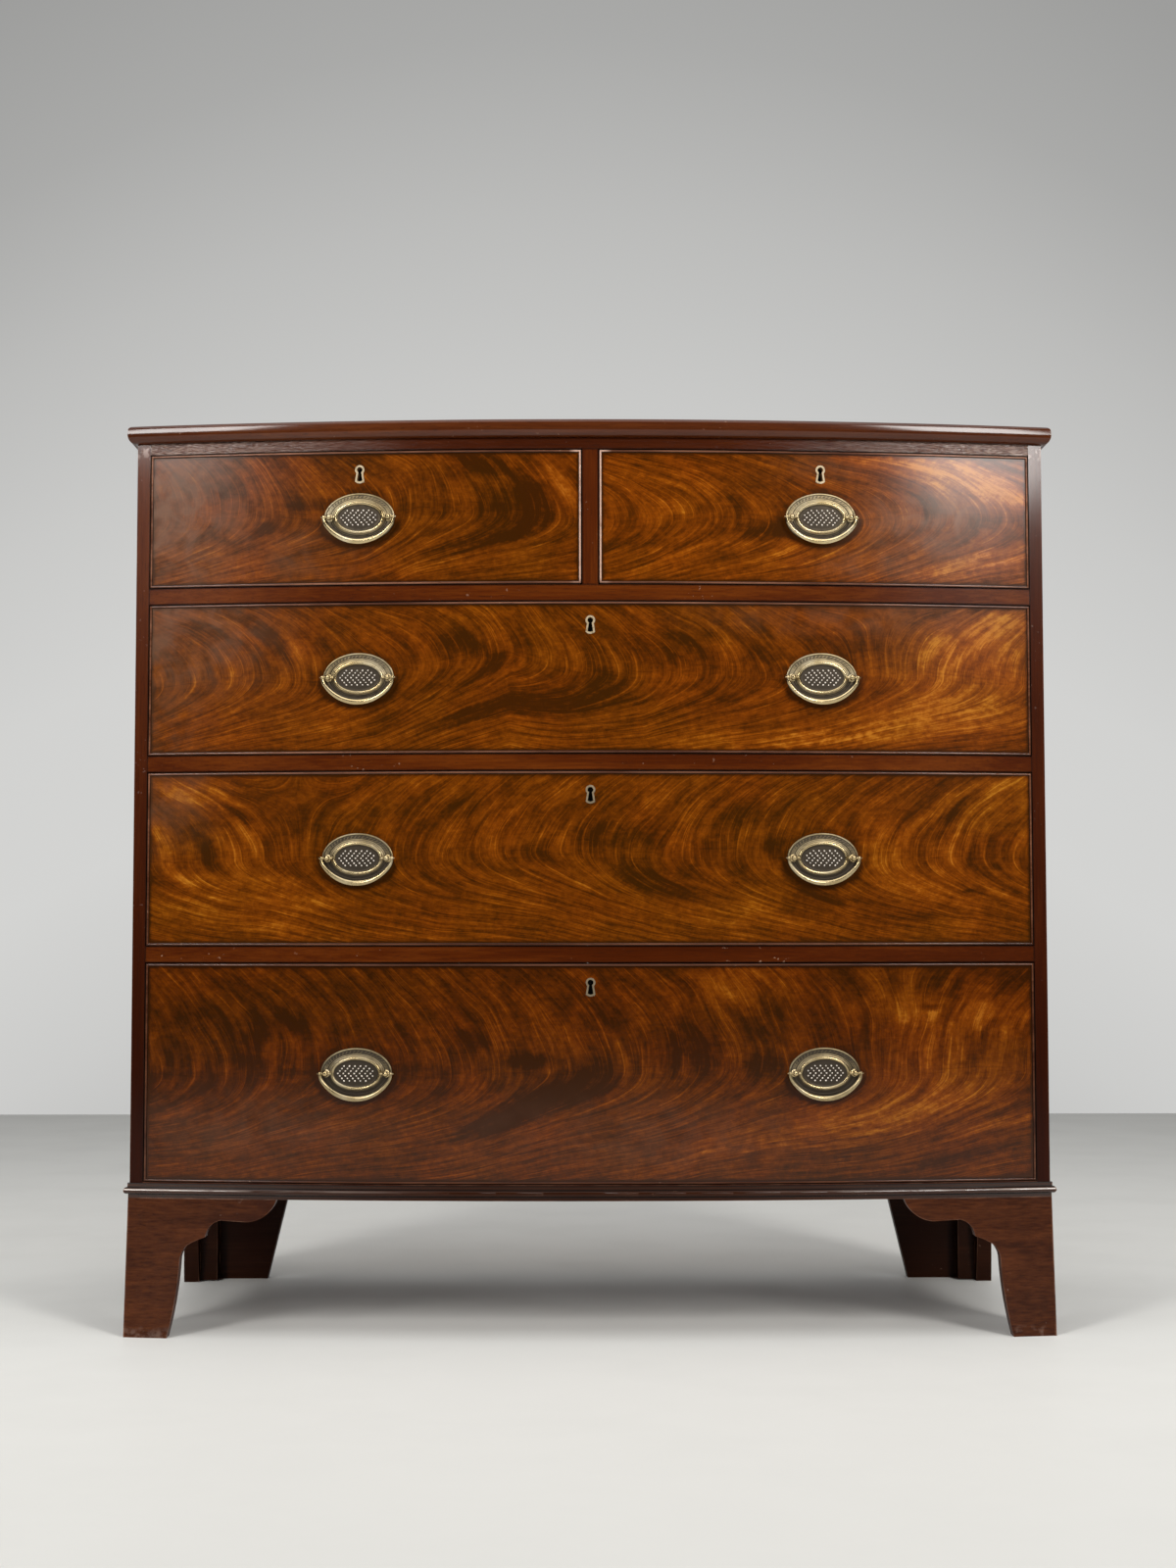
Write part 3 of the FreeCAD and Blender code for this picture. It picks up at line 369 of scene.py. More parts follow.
def polishedWood(name, look):
    # figured wood under a coat of polish, with each kind of wear that its look asks for laid over it in turn
    uniform = {"Specular IOR Level": look["specular"], "Coat Weight": look["coat"],
               "Coat Roughness": look["coatRough"], "Coat IOR": 1.5}
    material, tree, shader = newMaterial(name, **uniform)
    spot = spotOf(tree)
    colour, line, pore = woodFigure(tree, spot, look)
    for key, layOver in (("specks", specksOver), ("rubbed", rubbedOver), ("grooves", grooveShadeOver),
                         ("haze", highlightStreaksOver), ("nose", beadShadeAndHighlightOver), ("wear", chipsOver)):
        if look.get(key):
            colour = layOver(tree, colour, spot, look)
    tree.links.new(colour, shader.inputs["Base Color"])
    smear = noiseOf(tree, spot["place"], scale=7.0, detail=4.0)
    tree.links.new(rangeOf(tree, smear, 0.3, 0.7, look["rough"] - 0.07, look["rough"] + 0.1),
                   shader.inputs["Roughness"])
    if look.get("gloss"):
        # the polish is rubbed away towards the floor and towards the middle of the front
        low, middle = look["gloss"]
        kept = times(tree, rangeOf(tree, spot["Z"], *chest["fadeSpan"], low, 1.0),
                     rangeOf(tree, spot["aside"], 0.15, 0.45, middle, 1.0))
        kept = times(tree, kept, rangeOf(tree, smear, 0.3, 0.6, 1.0, 0.75))
        tree.links.new(times(tree, kept, look["coat"]), shader.inputs["Coat Weight"])
    height = mathNode(tree, "MULTIPLY_ADD", pore, -0.4, line)
    bumpOf(tree, shader, height, look["bump"], 0.35, look["coatBump"])
    return material


# What the keys of a wood's look say:
# dark, middle, light: its three tones. bands, fine, spread: weights of bands and lines, and the ramp's reach.
# gloss: share of the polish kept at the floor and at the middle of the front.
# wear: (high or low, start, end, share) of the chips, before the Y of wearTo.
# haze: a painted highlight; half widths between which it grows, and its share. grooves, crest:
# levels in metres of the grooves' painted shade and of the crest's highlight. lowTone: painted shade towards
# the floor. innerDirt: painted shade of the gaps round the drawers, with dirt.
polish = {
    "specular": 0.02, "coat": 0.9, "coatRough": 0.11, "rough": 0.45, "bump": 0.00008, "coatBump": 0.16,
    "bandLength": 2.2, "bandWidth": 42.0, "bands": 0.55, "fine": 0.38, "spread": 0.75,
    "pores": 0.5, "poreColour": (0.012, 0.004, 0.002), "gloss": (0.35, 1.0),
    "specks": 0.5, "speckColour": (0.30, 0.17, 0.11), "chipScale": 120.0, "wearTo": -0.194,
    "rubbed": 0.65, "rubbedColour": (0.23, 0.115, 0.070), "edgeWidth": 0.0016,
}
redWood = {
    "dark": (0.020, 0.0028, 0.0004), "middle": (0.050, 0.0090, 0.0013), "light": (0.098, 0.022, 0.0034),
}
stileWood = {
    "dark": (0.025, 0.0036, 0.0005), "middle": (0.063, 0.0118, 0.0017), "light": (0.124, 0.029, 0.0044),
    "lowTone": 0.34, "coat": 0.8, "gloss": (0.22, 1.0), "innerDirt": 0.9, "specks": 0.22,
    "wear": [("high", 0.984, 1.0, 0.75)], "wearTo": -0.197, "speckColour": (0.42, 0.30, 0.26),
}
topWood = {
    "dark": (0.026, 0.0042, 0.0006), "middle": (0.066, 0.0140, 0.0022), "light": (0.125, 0.033, 0.0060),
    "coatBump": 0.07,
}
friezeWood = {
    **redWood, "bump": 0.0010, "coat": 1.0, "coatBump": 1.0, "coatRough": 0.09, "gloss": (1.0, 0.12),
    "innerDirt": 0.9, "edgeWidth": 0.0024, "speckColour": (0.34, 0.22, 0.17),
    "haze": (0.20, 0.50, 0.42), "hazeColour": (0.50, 0.34, 0.27), "hazeFine": 900.0,
}
railWood = {
    "dark": (0.026, 0.0036, 0.0002), "middle": (0.066, 0.0112, 0.0007), "light": (0.165, 0.038, 0.0030),
    "bands": 0.75, "bandWidth": 24.0, "lowTone": 0.80, "gloss": (0.30, 0.45), "coatBump": 0.3,
    "specks": 0.9, "innerDirt": 1.0, "edgeWidth": 0.0028,
}
beadWood = {
    "dark": (0.040, 0.0095, 0.0035), "middle": (0.085, 0.027, 0.0110), "light": (0.26, 0.115, 0.065),
    "bands": 0.9, "bandLength": 5.0, "lowTone": 0.42, "coat": 0.6, "gloss": (0.8, 0.8), "rubbed": 0.0,
    "nose": 0.9, "flankColour": (0.010, 0.004, 0.002), "wornColour": (0.62, 0.40, 0.31),
    "wornFrom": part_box("short_left_cockbeads")[0].z,
}
baseWood = {
    "dark": (0.014, 0.0030, 0.0008), "middle": (0.029, 0.0078, 0.0022), "light": (0.062, 0.020, 0.0064),
    "coat": 1.0, "coatRough": 0.08, "gloss": (1.0, 0.30), "grooves": (0.1580, 0.1655, 0.1697),
    "haze": (0.16, 0.46, 0.65), "crest": 0.1630, "hazeColour": (0.50, 0.42, 0.37), "hazeFine": 60.0,
}
footWood = {
    "dark": (0.012, 0.0024, 0.0006), "middle": (0.033, 0.0072, 0.0017), "light": (0.094, 0.025, 0.0064),
    "fine": 0.75, "bands": 0.8, "spread": 1.0, "coat": 0.28, "coatRough": 0.2, "gloss": (1.0, 1.0),
    "wear": [("low", -0.014, 0.0, 0.6)], "wearTo": 0.3, "chipScale": 60.0, "speckColour": (0.20, 0.13, 0.10),
}
# painted shade: a darker copy of the foot wood for the rear feet, which stand in the shadow under the chest
shadowedFootWood = {
    "dark": (0.010, 0.0024, 0.0006), "middle": (0.022, 0.0056, 0.0016), "light": (0.045, 0.013, 0.0040),
    "coat": 0.15, "coatRough": 0.25, "gloss": (1.0, 1.0),
}
bare = {
    "specular": 0.25, "coat": 0.0, "coatRough": 0.3, "rough": 0.72, "bump": 0.00025, "coatBump": 0.0,
    "bandLength": 1.6, "bandWidth": 34.0, "bands": 0.6, "fine": 0.4, "spread": 0.85, "pores": 0.35,
}
pineWood = {
    "dark": (0.20, 0.10, 0.042), "middle": (0.33, 0.19, 0.085), "light": (0.46, 0.29, 0.15),
    "poreColour": (0.12, 0.06, 0.025),
}
oakWood = {
    "dark": (0.19, 0.11, 0.05), "middle": (0.31, 0.20, 0.10), "light": (0.43, 0.30, 0.17),
    "poreColour": (0.08, 0.045, 0.02),
}
woods = {}   # one material for each kind of wood and each direction of its grain
for kind, grains, base, look in (("red", "X", polish, redWood), ("stile", "Z", polish, stileWood),
                                 ("top", "X", polish, topWood), ("frieze", "X", polish, friezeWood),
                                 ("rail", "XZ", polish, railWood), ("bead", "X", polish, beadWood),
                                 ("base", "X", polish, baseWood), ("foot", "X", polish, footWood),
                                 ("shade", "X", polish, shadowedFootWood), ("pine", "XY", bare, pineWood),
                                 ("pine", "Z", bare, {**pineWood, "plank": 0.169}),
                                 ("oak", "Y", bare, oakWood)):
    for grain in grains:
        woods[kind + grain] = polishedWood(kind + "Wood" + grain, {**base, **look, "grain": grain})

flameLook = {
    "dark": (0.038, 0.0098, 0.0004), "brown": (0.088, 0.0185, 0.0004), "orange": (0.148, 0.0315, 0.0008),
    # the last colour on the next line is the painted grey pink reflection of the lamps
    "gold": (0.225, 0.054, 0.0018), "bright": (0.39, 0.130, 0.010), "bloom": (0.165, 0.084, 0.048),
    "tongue": 0.24, "flame": 0.20, "streak": 0.31, "hair": 0.38, "mottle": 0.56, "ripple": 0.22,
    "cloud": 0.52, "speckle": 0.26, "thread": 0.24,   # weight of each noise
    "shaft": 0.14,                                    # depth of the lines along the spine
    "middle": 0.32,                                   # the ramp's place of a plain shade
    "drift": (0.92, 1.03, 0.9),                       # tint of its greener parts
    "coat": 0.52, "coatRough": 0.14,
}


def flameVeneer():
    # crotch figure. Ramp's place = middle + shade + weight times (noise - 1/2) for each noise, less the
    # shaft's lines. Tongues, streaks and hairs are noises stretched along the streaks of the map figure, the
    # shaft's lines run along the map shaft, and the shade is kept at each point.
    look = flameLook
    material, tree, shader = newMaterial("flameVeneer", **{"Specular IOR Level": 0.0, "Coat IOR": 1.5,
                                                           "Coat Weight": look["coat"],
                                                           "Coat Roughness": look["coatRough"]})
    figure = addNode(tree, "UVMap", uv_map="figure").outputs[0]
    shaftMap = addNode(tree, "UVMap", uv_map="shaft").outputs[0]
    place = addNode(tree, "TexCoord").outputs["Object"]
    shade = addNode(tree, "Attribute", attribute_name="shade").outputs["Fac"]
    bloom = addNode(tree, "Attribute", attribute_name="bloom").outputs["Fac"]
    stain = addNode(tree, "Attribute", attribute_name="stain").outputs["Color"]

    def layer(scale, detail=2.0, distortion=0.0, source=figure):
        return noiseOf(tree, stretched(tree, source, scale), detail=detail, distortion=distortion)
    streak = layer((560.0, 20.0, 1.0), 3.0, 0.3)
    noises = {
        "tongue": rangeOf(tree, layer((50.0, 13.0, 1.0), 2.0, 0.6), 0.40, 0.62),
        "flame": rangeOf(tree, layer((150.0, 20.0, 1.0), 2.0, 0.5), 0.36, 0.64),
        "streak": streak,
        "hair": layer((1300.0, 45.0, 1.0), 2.0),
        "ripple": layer((45.0, 230.0, 1.0), 2.0, 0.8),
        "mottle": layer((120.0, 120.0, 150.0), 4.0, 0.5, place),
        "speckle": layer((420.0, 420.0, 460.0), 2.0, 0.0, place),
        "thread": rangeOf(tree, layer((360.0, 11.0, 1.0), 2.0, 0.8), 0.58, 0.66, 0.5, 1.5),
        "cloud": layer((16.0, 16.0, 26.0), 3.0, 1.0, place),
    }
    value = mathNode(tree, "ADD", shade, look["middle"])
    for key, noise in noises.items():
        value = mathNode(tree, "MULTIPLY_ADD", mathNode(tree, "SUBTRACT", noise, 0.5), look[key], value)
    shaftLine = rangeOf(tree, layer((17.0, 420.0, 1.0), 3.0, 0.3, shaftMap), 0.45, 0.30)
    off = addNode(tree, "SeparateXYZ", {"Vector": shaftMap}).outputs["Y"]
    near = rangeOf(tree, mathNode(tree, "ABSOLUTE", off), 0.002, 0.020, 1.0, 0.0)
    value = mathNode(tree, "ADD", value, times(tree, times(tree, shaftLine, near), -look["shaft"]))
    colour = rampOf(tree, value, [(0.0, look["dark"]), (0.27, look["brown"]), (0.5, look["orange"]),
                                  (0.72, look["gold"]), (1.0, look["bright"])])
    drift = rangeOf(tree, layer((11.0, 11.0, 14.0), 2.0, 0.4, place), 0.35, 0.65)
    colour = mixColours(tree, drift, colour, mixColours(tree, 1.0, colour, (*look["drift"], 1.0), "MULTIPLY"))
    pore = rangeOf(tree, layer((1900.0, 150.0, 1.0), 1.0), 0.60, 0.74, 0.0, 0.5)
    colour = laidOver(tree, colour, pore, look["dark"])
    colour = mixColours(tree, 1.0, colour, stain, "MULTIPLY")
    # painted reflection of the lamps: grey pink laid over where its kept strength is high, clouded by noise
    cloudy = rangeOf(tree, layer((30.0, 30.0, 34.0), 4.0, 0.8, place), 0.36, 0.62, 0.25, 1.0)
    colour = laidOver(tree, colour, times(tree, bloom, cloudy), look["bloom"])
    tree.links.new(colour, shader.inputs["Base Color"])
    smear = noiseOf(tree, place, scale=9.0, detail=5.0)
    tree.links.new(rangeOf(tree, smear, 0.3, 0.7, 0.34, 0.52), shader.inputs["Roughness"])
    waver = noiseOf(tree, place, scale=16.0, detail=2.0)
    bumpOf(tree, shader, mathNode(tree, "MULTIPLY_ADD", waver, 2.2, streak), 0.00010, 0.4, 0.14)
    return material


brassLook = {
    "tones": [(0.3, (0.52, 0.39, 0.19)), (0.55, (0.64, 0.51, 0.29)), (0.75, (0.76, 0.65, 0.44))],
    "aged": (0.060, 0.048, 0.036), "dotHighlightColour": (1.0, 0.93, 0.86), "blotches": 0.12,
}
linerLook = {
    "tones": [(0.35, (0.50, 0.40, 0.26)), (0.6, (0.40, 0.31, 0.19)), (0.75, (0.18, 0.13, 0.07))],
    "lowerDarkening": (0.035, 0.022, 0.012), "lowerDarkeningSpan": (0.58, 0.72),   # heights between which it goes
    # the first colour is painted shade: near black inside the keyholes, behind the face
    "hollow": (0.006, 0.005, 0.004), "edgePlate": 0.0026,
    "ringDepth": 0.0010,                                             # pale rim of a lining behind the face
}
steelTones = [(0.35, (0.34, 0.33, 0.32)), (0.6, (0.24, 0.21, 0.19)), (0.75, (0.14, 0.07, 0.035))]


def brassMaterial():
    # pale worn brass, which goes to its aged colour by the point's patina mark plus blotches. A mark below
    # nought makes it paler and duller, as the dots of the plate's middle are; their paleness is partly a
    # painted highlight on the raised dots.
    look = brassLook
    material, tree, shader = newMaterial("agedBrass", Metallic=1.0)
    place = addNode(tree, "TexCoord").outputs["Object"]
    patina = addNode(tree, "Attribute", attribute_name="patina").outputs["Fac"]
    blotch = noiseOf(tree, place, scale=190.0, detail=5.0)
    cloud = noiseOf(tree, place, scale=45.0, detail=3.0)
    # painted highlight in part: the raised dots are paler and rougher
    dotHighlight = rangeOf(tree, patina, -0.05, -0.3)
    bright = laidOver(tree, rampOf(tree, cloud, look["tones"]), dotHighlight, look["dotHighlightColour"])
    age = mathNode(tree, "MULTIPLY_ADD", rangeOf(tree, blotch, 0.50, 0.68), look["blotches"], patina)
    age = addNode(tree, "Clamp", {"Value": age}).outputs[0]
    tree.links.new(laidOver(tree, bright, age, look["aged"]), shader.inputs["Base Color"])
    rough = mathNode(tree, "MULTIPLY_ADD", age, 0.3, rangeOf(tree, cloud, 0.3, 0.7, 0.15, 0.27))
    rough = mathNode(tree, "MULTIPLY_ADD", dotHighlight, 0.28, rough)
    tree.links.new(rough, shader.inputs["Roughness"])
    bumpOf(tree, shader, blotch, 0.00006, 0.12)
    return material


def linerMaterial():
    # dull pale brass of the keyhole linings' rims and the locks' edge plates; all that lies deeper behind the
    # face, by its distance from the bow's middle line, is painted dark: painted shade inside the keyholes
    look = linerLook
    material, tree, shader = newMaterial("dullBrass", Metallic=0.55, Roughness=0.5)
    spot = spotOf(tree)
    stain = noiseOf(tree, spot["place"], scale=260.0, detail=4.0)
    fromMiddle = stretched(tree, spot["place"], (1.0, 1.0, 0.0), (0.0, -bowCentreY, 0.0))
    out = addNode(tree, "VectorMath", {0: fromMiddle}, operation="LENGTH").outputs["Value"]
    depth = bowRadius - look["ringDepth"]
    shown = rangeOf(tree, out, depth - 0.0006, depth + 0.0006)
    for name in ("short_left", "upper_long", "middle_long", "lower_long"):
        off = offLevel(tree, spot["Z"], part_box(name + "_lock")[1].z)
        edgePlate = rangeOf(tree, off, look["edgePlate"] + 0.0004, look["edgePlate"] - 0.0004)
        shown = mathNode(tree, "MAXIMUM", shown, edgePlate)
    lowerDarkening = rangeOf(tree, spot["Z"], *look["lowerDarkeningSpan"], 0.62, 0.05)   # the lower drawers' are darker
    pale = laidOver(tree, rampOf(tree, stain, look["tones"]), lowerDarkening, look["lowerDarkening"])
    tree.links.new(mixColours(tree, shown, (*look["hollow"], 1.0), pale), shader.inputs["Base Color"])
    bumpOf(tree, shader, stain, 0.00005, 0.4)
    return material


def steelMaterial():
    # grey steel, brown and duller where one noise is high
    material, tree, shader = newMaterial("dullSteel", Metallic=1.0)
    place = addNode(tree, "TexCoord").outputs["Object"]
    rust = noiseOf(tree, place, scale=120.0, detail=5.0)
    tree.links.new(rampOf(tree, rust, steelTones), shader.inputs["Base Color"])
    tree.links.new(rangeOf(tree, rust, 0.3, 0.7, 0.35, 0.6), shader.inputs["Roughness"])
    bumpOf(tree, shader, rust, 0.0001, 0.4)
    return material


flame = flameVeneer()
brass = brassMaterial()
liner = linerMaterial()
steel = steelMaterial()
print("materials made:", len(bpy.data.materials))

finishes = {
    "top_board": "topX", "carcass_side_left": "stileZ", "carcass_side_right": "stileZ",
    "carcass_bottom": "redX", "back_boards": "pineZ", "top_rails": "friezeX", "drawer_rails": "railX",
    "centre_muntin": "railZ",
    "drawer_runners": "pineY", "dustboards": "pineX", "drawer_stops": "pineX", "base_moulding": "baseX",
    "foot_front_left": "footX", "foot_front_right": "footX",
    "foot_rear_left": "shadeX", "foot_rear_right": "shadeX",
}
endings = {"_core": woods["pineX"], "_veneer": flame, "_cockbeads": woods["beadX"], "_box": woods["oakY"],
           "_lock": liner, "_lock_bolt": steel, "_handle_fittings": brass, "screws": steel}


def finishFor(name):
    # the wood that the table above gives, or else the material of the name's ending; the rest is brass
    if name in finishes:
        return woods[finishes[name]]
    for ending, material in endings.items():
        if name.endswith(ending):
            return material
    return brass


for name, node in nodes.items():
    node.data.materials.clear()
    node.data.materials.append(finishFor(name))

veneer = {
    "step": 0.0032, "fineStep": 0.0008, "fineHalf": 0.0145,   # grid, and its finer part round the keyhole
    "thickness": 0.0011,
    "keyDrop": 0.026,                # middle of the keyhole below the drawer's top edge
    "keyHead": 0.00315, "keyNeck": 0.0016, "keyFoot": 0.0031, "keyHalf": 0.0082,
    "underRing": 0.0011,             # the opening is this much wider than the keyhole, under the brass
    # the rest is in mm. Noise is (strength, size across and along the streaks, step of the seed).
    "drifts": [(13.0, 70.0, 60.0, 0), (5.0, 24.0, 30.0, 1)],       # moves the streaks
    "feathers": [(1.2, 8.0, 34.0, 2), (0.7, 3.6, 17.0, 5)],        # frays the plumes
    "waver": (3.0, 41.0),            # how far the spine wavers, and the length of its wave over two pi
    "depths": (0.58, 0.66),          # how strongly dark and golden plumes are laid in
    "edgeDirt": (0.55, 1.4),         # painted shade of the gap beside the cockbeads, with dirt: its darkness, and how soon it fades
    "plateRing": (41.0, 30.0, 34.0),   # ellipse round a plate: half width, half height, about their mean
    "plateShadeAndDirt": (0.18, 0.62, 4.6),    # dirt and painted shadow round a plate: darkness all round it, more below the bail, and how soon it fades
}
# All places are in mm from the middle of the front. Spine is the line that the streaks bend back from; hand
# is 1 where their tips point right and -1 where they point left. Lower, upper: how fast the streaks bend
# back below and above the spine, per metre. Turn: where, along the front, the upper streaks bend the other
# way, and back how fast. Tint multiplies the colours and lift lightens them; the lowest front's darker tint
# and lift are partly its own tone and partly painted shade, as less light falls low down. Plumes are (x, z,
# half width, half height, darkness); a negative darkness is a golden place, and the broad golden one at the
# right end of each long front is painted light, as that end is lit more. The sheen list is a painted grey
# pink reflection of the lamps: (x, z, half width, half height, strength).
fronts = {
    "short_left": {
        "spine": [(-240, 4), (0, 0), (60, 8), (240, 0)],
        "hand": 1, "lower": 36.0, "upper": 9.0, "back": 11.0, "turn": (330.0, 420.0),
        "tint": (0.97, 0.94, 1.0), "seed": 11, "lift": 0.00,
        "bloom": [(-240, 10, 100, 90, 0.62), (-60, -40, 60, 30, 0.25)],
        "plumes": [
            (-170, 37, 20, 12, 0.40), (-65, 15, 30, 5, 0.40), (-117, -13, 10, 9, 0.40),
            (-45, -35, 14, 12, 0.45), (131, 60, 25, 14, 0.80), (95, 50, 18, 10, 0.40), (181, 0, 38, 45, 0.75),
            (150, -27, 12, 12, 0.50), (95, 10, 50, 8, 0.35), (45, -53, 80, 12, -0.25),
            (221, 40, 15, 25, -0.40), (-90, -37, 35, 20, -0.20)]},
    "short_right": {
        "spine": [(-240, 0), (0, -4), (240, 4)],
        "hand": 1, "lower": 33.0, "upper": 26.0, "back": 11.0, "turn": (330.0, 420.0),
        "tint": (1.10, 1.04, 0.9), "seed": 23, "lift": 0.03,
        "bloom": [(140, -4, 85, 40, 0.52), (20, 60, 60, 20, 0.15), (60, -50, 60, 20, 0.30)],
        "plumes": [
            (185, 45, 60, 30, -0.95), (202, -45, 45, 22, -0.55), (130, 18, 22, 20, 0.45),
            (184, 0, 14, 12, 0.30), (-56, 28, 25, 20, 0.45), (-55, -12, 35, 12, 0.50),
            (-99, 15, 22, 12, 0.30),
            (-226, -30, 12, 35, 0.40), (-199, 45, 20, 12, -0.20), (-156, 13, 18, 12, -0.35),
            (-146, -40, 15, 30, -0.30), (-172, -43, 8, 25, 0.40), (-60, -43, 18, 20, -0.35),
            (-96, -48, 12, 15, 0.35), (-32, 58, 10, 12, -0.20), (70, 35, 25, 25, 0.15)]},
    "upper_long": {
        "spine": [(-490, -8), (-370, 0), (-240, 0), (-170, 14), (-90, 30), (-30, 14), (60, 0), (150, 4),
                  (490, 0)],
        "hand": 1, "lower": 38.0, "upper": 12.0, "back": 11.0, "turn": (230.0, 420.0),
        "tint": (1.02, 1.0, 0.95), "seed": 37, "lift": 0.00,
        "bloom": [(-490, 60, 120, 70, 0.50), (-490, -40, 60, 60, 0.20), (300, 70, 150, 20, 0.20)],
        "plumes": [
            # painted light: a broad golden plume where the right end is lit more
            (430, 0, 80, 90, -0.40),
            (-432, 50, 22, 17, 0.30), (-361, 47, 14, 24, 0.65), (-308, 40, 14, 20, 0.55),
            (-334, 38, 6, 18, -0.30), (-408, 38, 8, 18, -0.25), (-143, 37, 28, 16, 0.55),
            (-113, 10, 14, 20, 0.50), (-50, -32, 50, 24, 0.75), (15, -5, 22, 16, 0.45),
            (98, 30, 45, 25, 0.45),
            (140, -20, 25, 15, 0.25), (-225, -42, 22, 8, 0.30), (-370, -55, 60, 14, -0.20),
            (165, -68, 130, 10, -0.30), (405, -50, 75, 28, -0.50), (450, 53, 40, 26, -0.45)]},
    "middle_long": {
        "spine": [(-490, 0), (-260, 0), (-60, 8), (60, 6), (150, 0), (490, 0)],
        "hand": -1, "lower": 32.0, "upper": 9.0, "back": 11.0, "turn": (260.0, 400.0),
        "tint": (0.98, 0.98, 0.9), "seed": 41, "lift": 0.01,
        "bloom": [(-490, 80, 60, 60, 0.30)],
        "plumes": [
            # the first is painted light: a broad golden plume where the right end is lit more
            (440, 20, 80, 90, -0.25), (-450, -60, 60, 30, -0.30),
            (-395, 50, 5, 22, 1.00), (-345, 50, 22, 30, 0.35), (-445, 72, 40, 15, -0.60),
            (-395, -25, 60, 10, -0.40), (-145, 55, 25, 18, 0.35), (-478, 10, 10, 70, -0.45),
            (-380, 5, 12, 50, -0.30),
            (-430, -5, 9, 40, 0.30), (-330, -48, 70, 8, -0.40), (-65, 5, 25, 12, 0.55),
            (30, 25, 45, 18, 0.60), (65, -25, 35, 22, 0.60), (180, 48, 40, 16, 0.40), (195, 10, 20, 12, 0.40),
            (260, -43, 25, 10, 0.35), (365, 55, 8, 24, 0.50), (405, 48, 8, 28, 0.45), (448, 0, 16, 28, 0.50),
            (482, -40, 12, 50, 0.40), (425, -37, 7, 3, 0.90), (145, -60, 90, 16, -0.30),
            (335, -65, 35, 6, 0.40), (320, -10, 30, 40, -0.35), (465, 82, 16, 12, -0.40)]},
    "lower_long": {
        "spine": [(-490, 0), (-260, 0), (-60, 0), (130, 10), (260, 0), (490, 0)],
        "hand": 1, "lower": 29.0, "upper": 5.0, "back": 5.0, "turn": (180.0, 500.0),
        # darker tint and lift: partly this front's own tone, partly painted shade, as less light falls low
        # down
        "tint": (0.75, 0.68, 0.60), "seed": 53, "lift": -0.07,
        "bloom": [(-380, -60, 140, 40, 0.14), (60, -70, 200, 40, 0.12)],
        "plumes": [
            # the first is painted light: a broad golden plume where the right end is lit more
            (430, -10, 90, 90, -0.40), (-400, -30, 130, 110, 0.16),
            (-444, 55, 18, 20, 0.40), (-373, 54, 14, 20, 0.60), (-328, 55, 14, 17, 0.60),
            (-383, 15, 18, 9, 0.40), (-323, 0, 30, 4, 0.40), (-185, 0, 35, 12, 0.35),
            (-128, 38, 14, 14, 0.60),
            (-74, 14, 30, 8, 0.80), (-67, -38, 45, 28, 0.85), (10, -3, 25, 25, 0.60), (27, 50, 9, 12, 0.50),
            (107, 32, 35, 26, 0.60), (192, 12, 25, 12, 0.35), (170, 100, 60, 20, -0.35),
            (140, 80, 35, 14, -0.25), (430, 62, 70, 22, -0.45), (355, 75, 30, 18, -0.50),
            (300, -50, 80, 35, -0.40), (420, -93, 30, 12, 0.50), (470, -55, 18, 25, -0.50),
            (378, 72, 11, 3, 0.80)]},
}


topBoard = {
    "reach": 10.5, "noseHeight": 1014.5,          # mm past the body, and where the edge stands out furthest
    "arcRadius": 24.0, "arcFrom": -3.0, "arcTo": 12.0,   # the flattish middle of the edge, in degrees of tilt
    "topEnd": (-0.5, 1024.0), "underEnd": (2.0, 1003.5),
    "pull": (5.5, 4.5, 3.4, 5.5),                 # handle lengths of the two curves, from below upwards
    "steps": 14, "columns": 180,
}


def bullnoseTop():
    # the edge's section, (out, height): a cubic curve, an arc of arcRadius and a cubic curve. It is carried
    # along both ends and the bow; flat sheets close the top, the underside and the back.
    look = topBoard
    low, high = math.radians(look["arcFrom"]), math.radians(look["arcTo"])
    tilt = np.linspace(low, high, look["steps"])[:, None]
    arc = np.concatenate([look["reach"] - look["arcRadius"] * (1.0 - np.cos(tilt)),
                          look["noseHeight"] + look["arcRadius"] * np.sin(tilt)], 1)

    def cubic(start, startWay, end, endWay):
        t = np.linspace(0.0, 1.0, look["steps"])[:, None]
        first, second = np.array(start) + startWay, np.array(end) - endWay
        return ((1 - t) ** 3 * np.array(start) + 3 * t * (1 - t) ** 2 * first + 3 * t * t * (1 - t) * second
                + t ** 3 * np.array(end))
    way = lambda angle: np.array((-math.sin(angle), math.cos(angle)))
    pull = look["pull"]
    under = cubic(look["underEnd"], pull[0] * np.array((1.0, 0.0)), arc[0], pull[1] * way(low))
    over = cubic(arc[-1], pull[2] * way(high), look["topEnd"], pull[3] * np.array((-1.0, 0.0)))
    section = np.concatenate([under[:-1], arc, over[1:]]) * mm
    out, level = section[:, :1], section[:, 1:]
    share = np.linspace(-1.0, 1.0, look["columns"])[None, :]
    x = share * (chest["halfBody"] + out)
    y = bowY(x, out)
    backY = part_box("top_board")[1].y
    z = np.broadcast_to(level, x.shape)
    sheets = [(x, y, z), (x, np.full_like(x, backY), z)]
    for edge in (0, -1):
        sheets.append((x[:, [edge, edge]], np.stack([y[:, edge], np.full(len(y), backY)], 1), z[:, :2]))
        sheets.append((x[[edge, edge]], np.stack([y[edge], np.full(y.shape[1], backY)]), z[[edge, edge]]))
    shells = [(np.stack(sheet, -1).reshape(-1, 3), gridFaces(*sheet[0].shape)) for sheet in sheets]
    points, faces = joinShells(shells)[:2]
    buildPiece("bullnose_top", points, faces, "carcass", woods["topX"], stands=["top_board"])


bullnoseTop()
print("top board shaped")


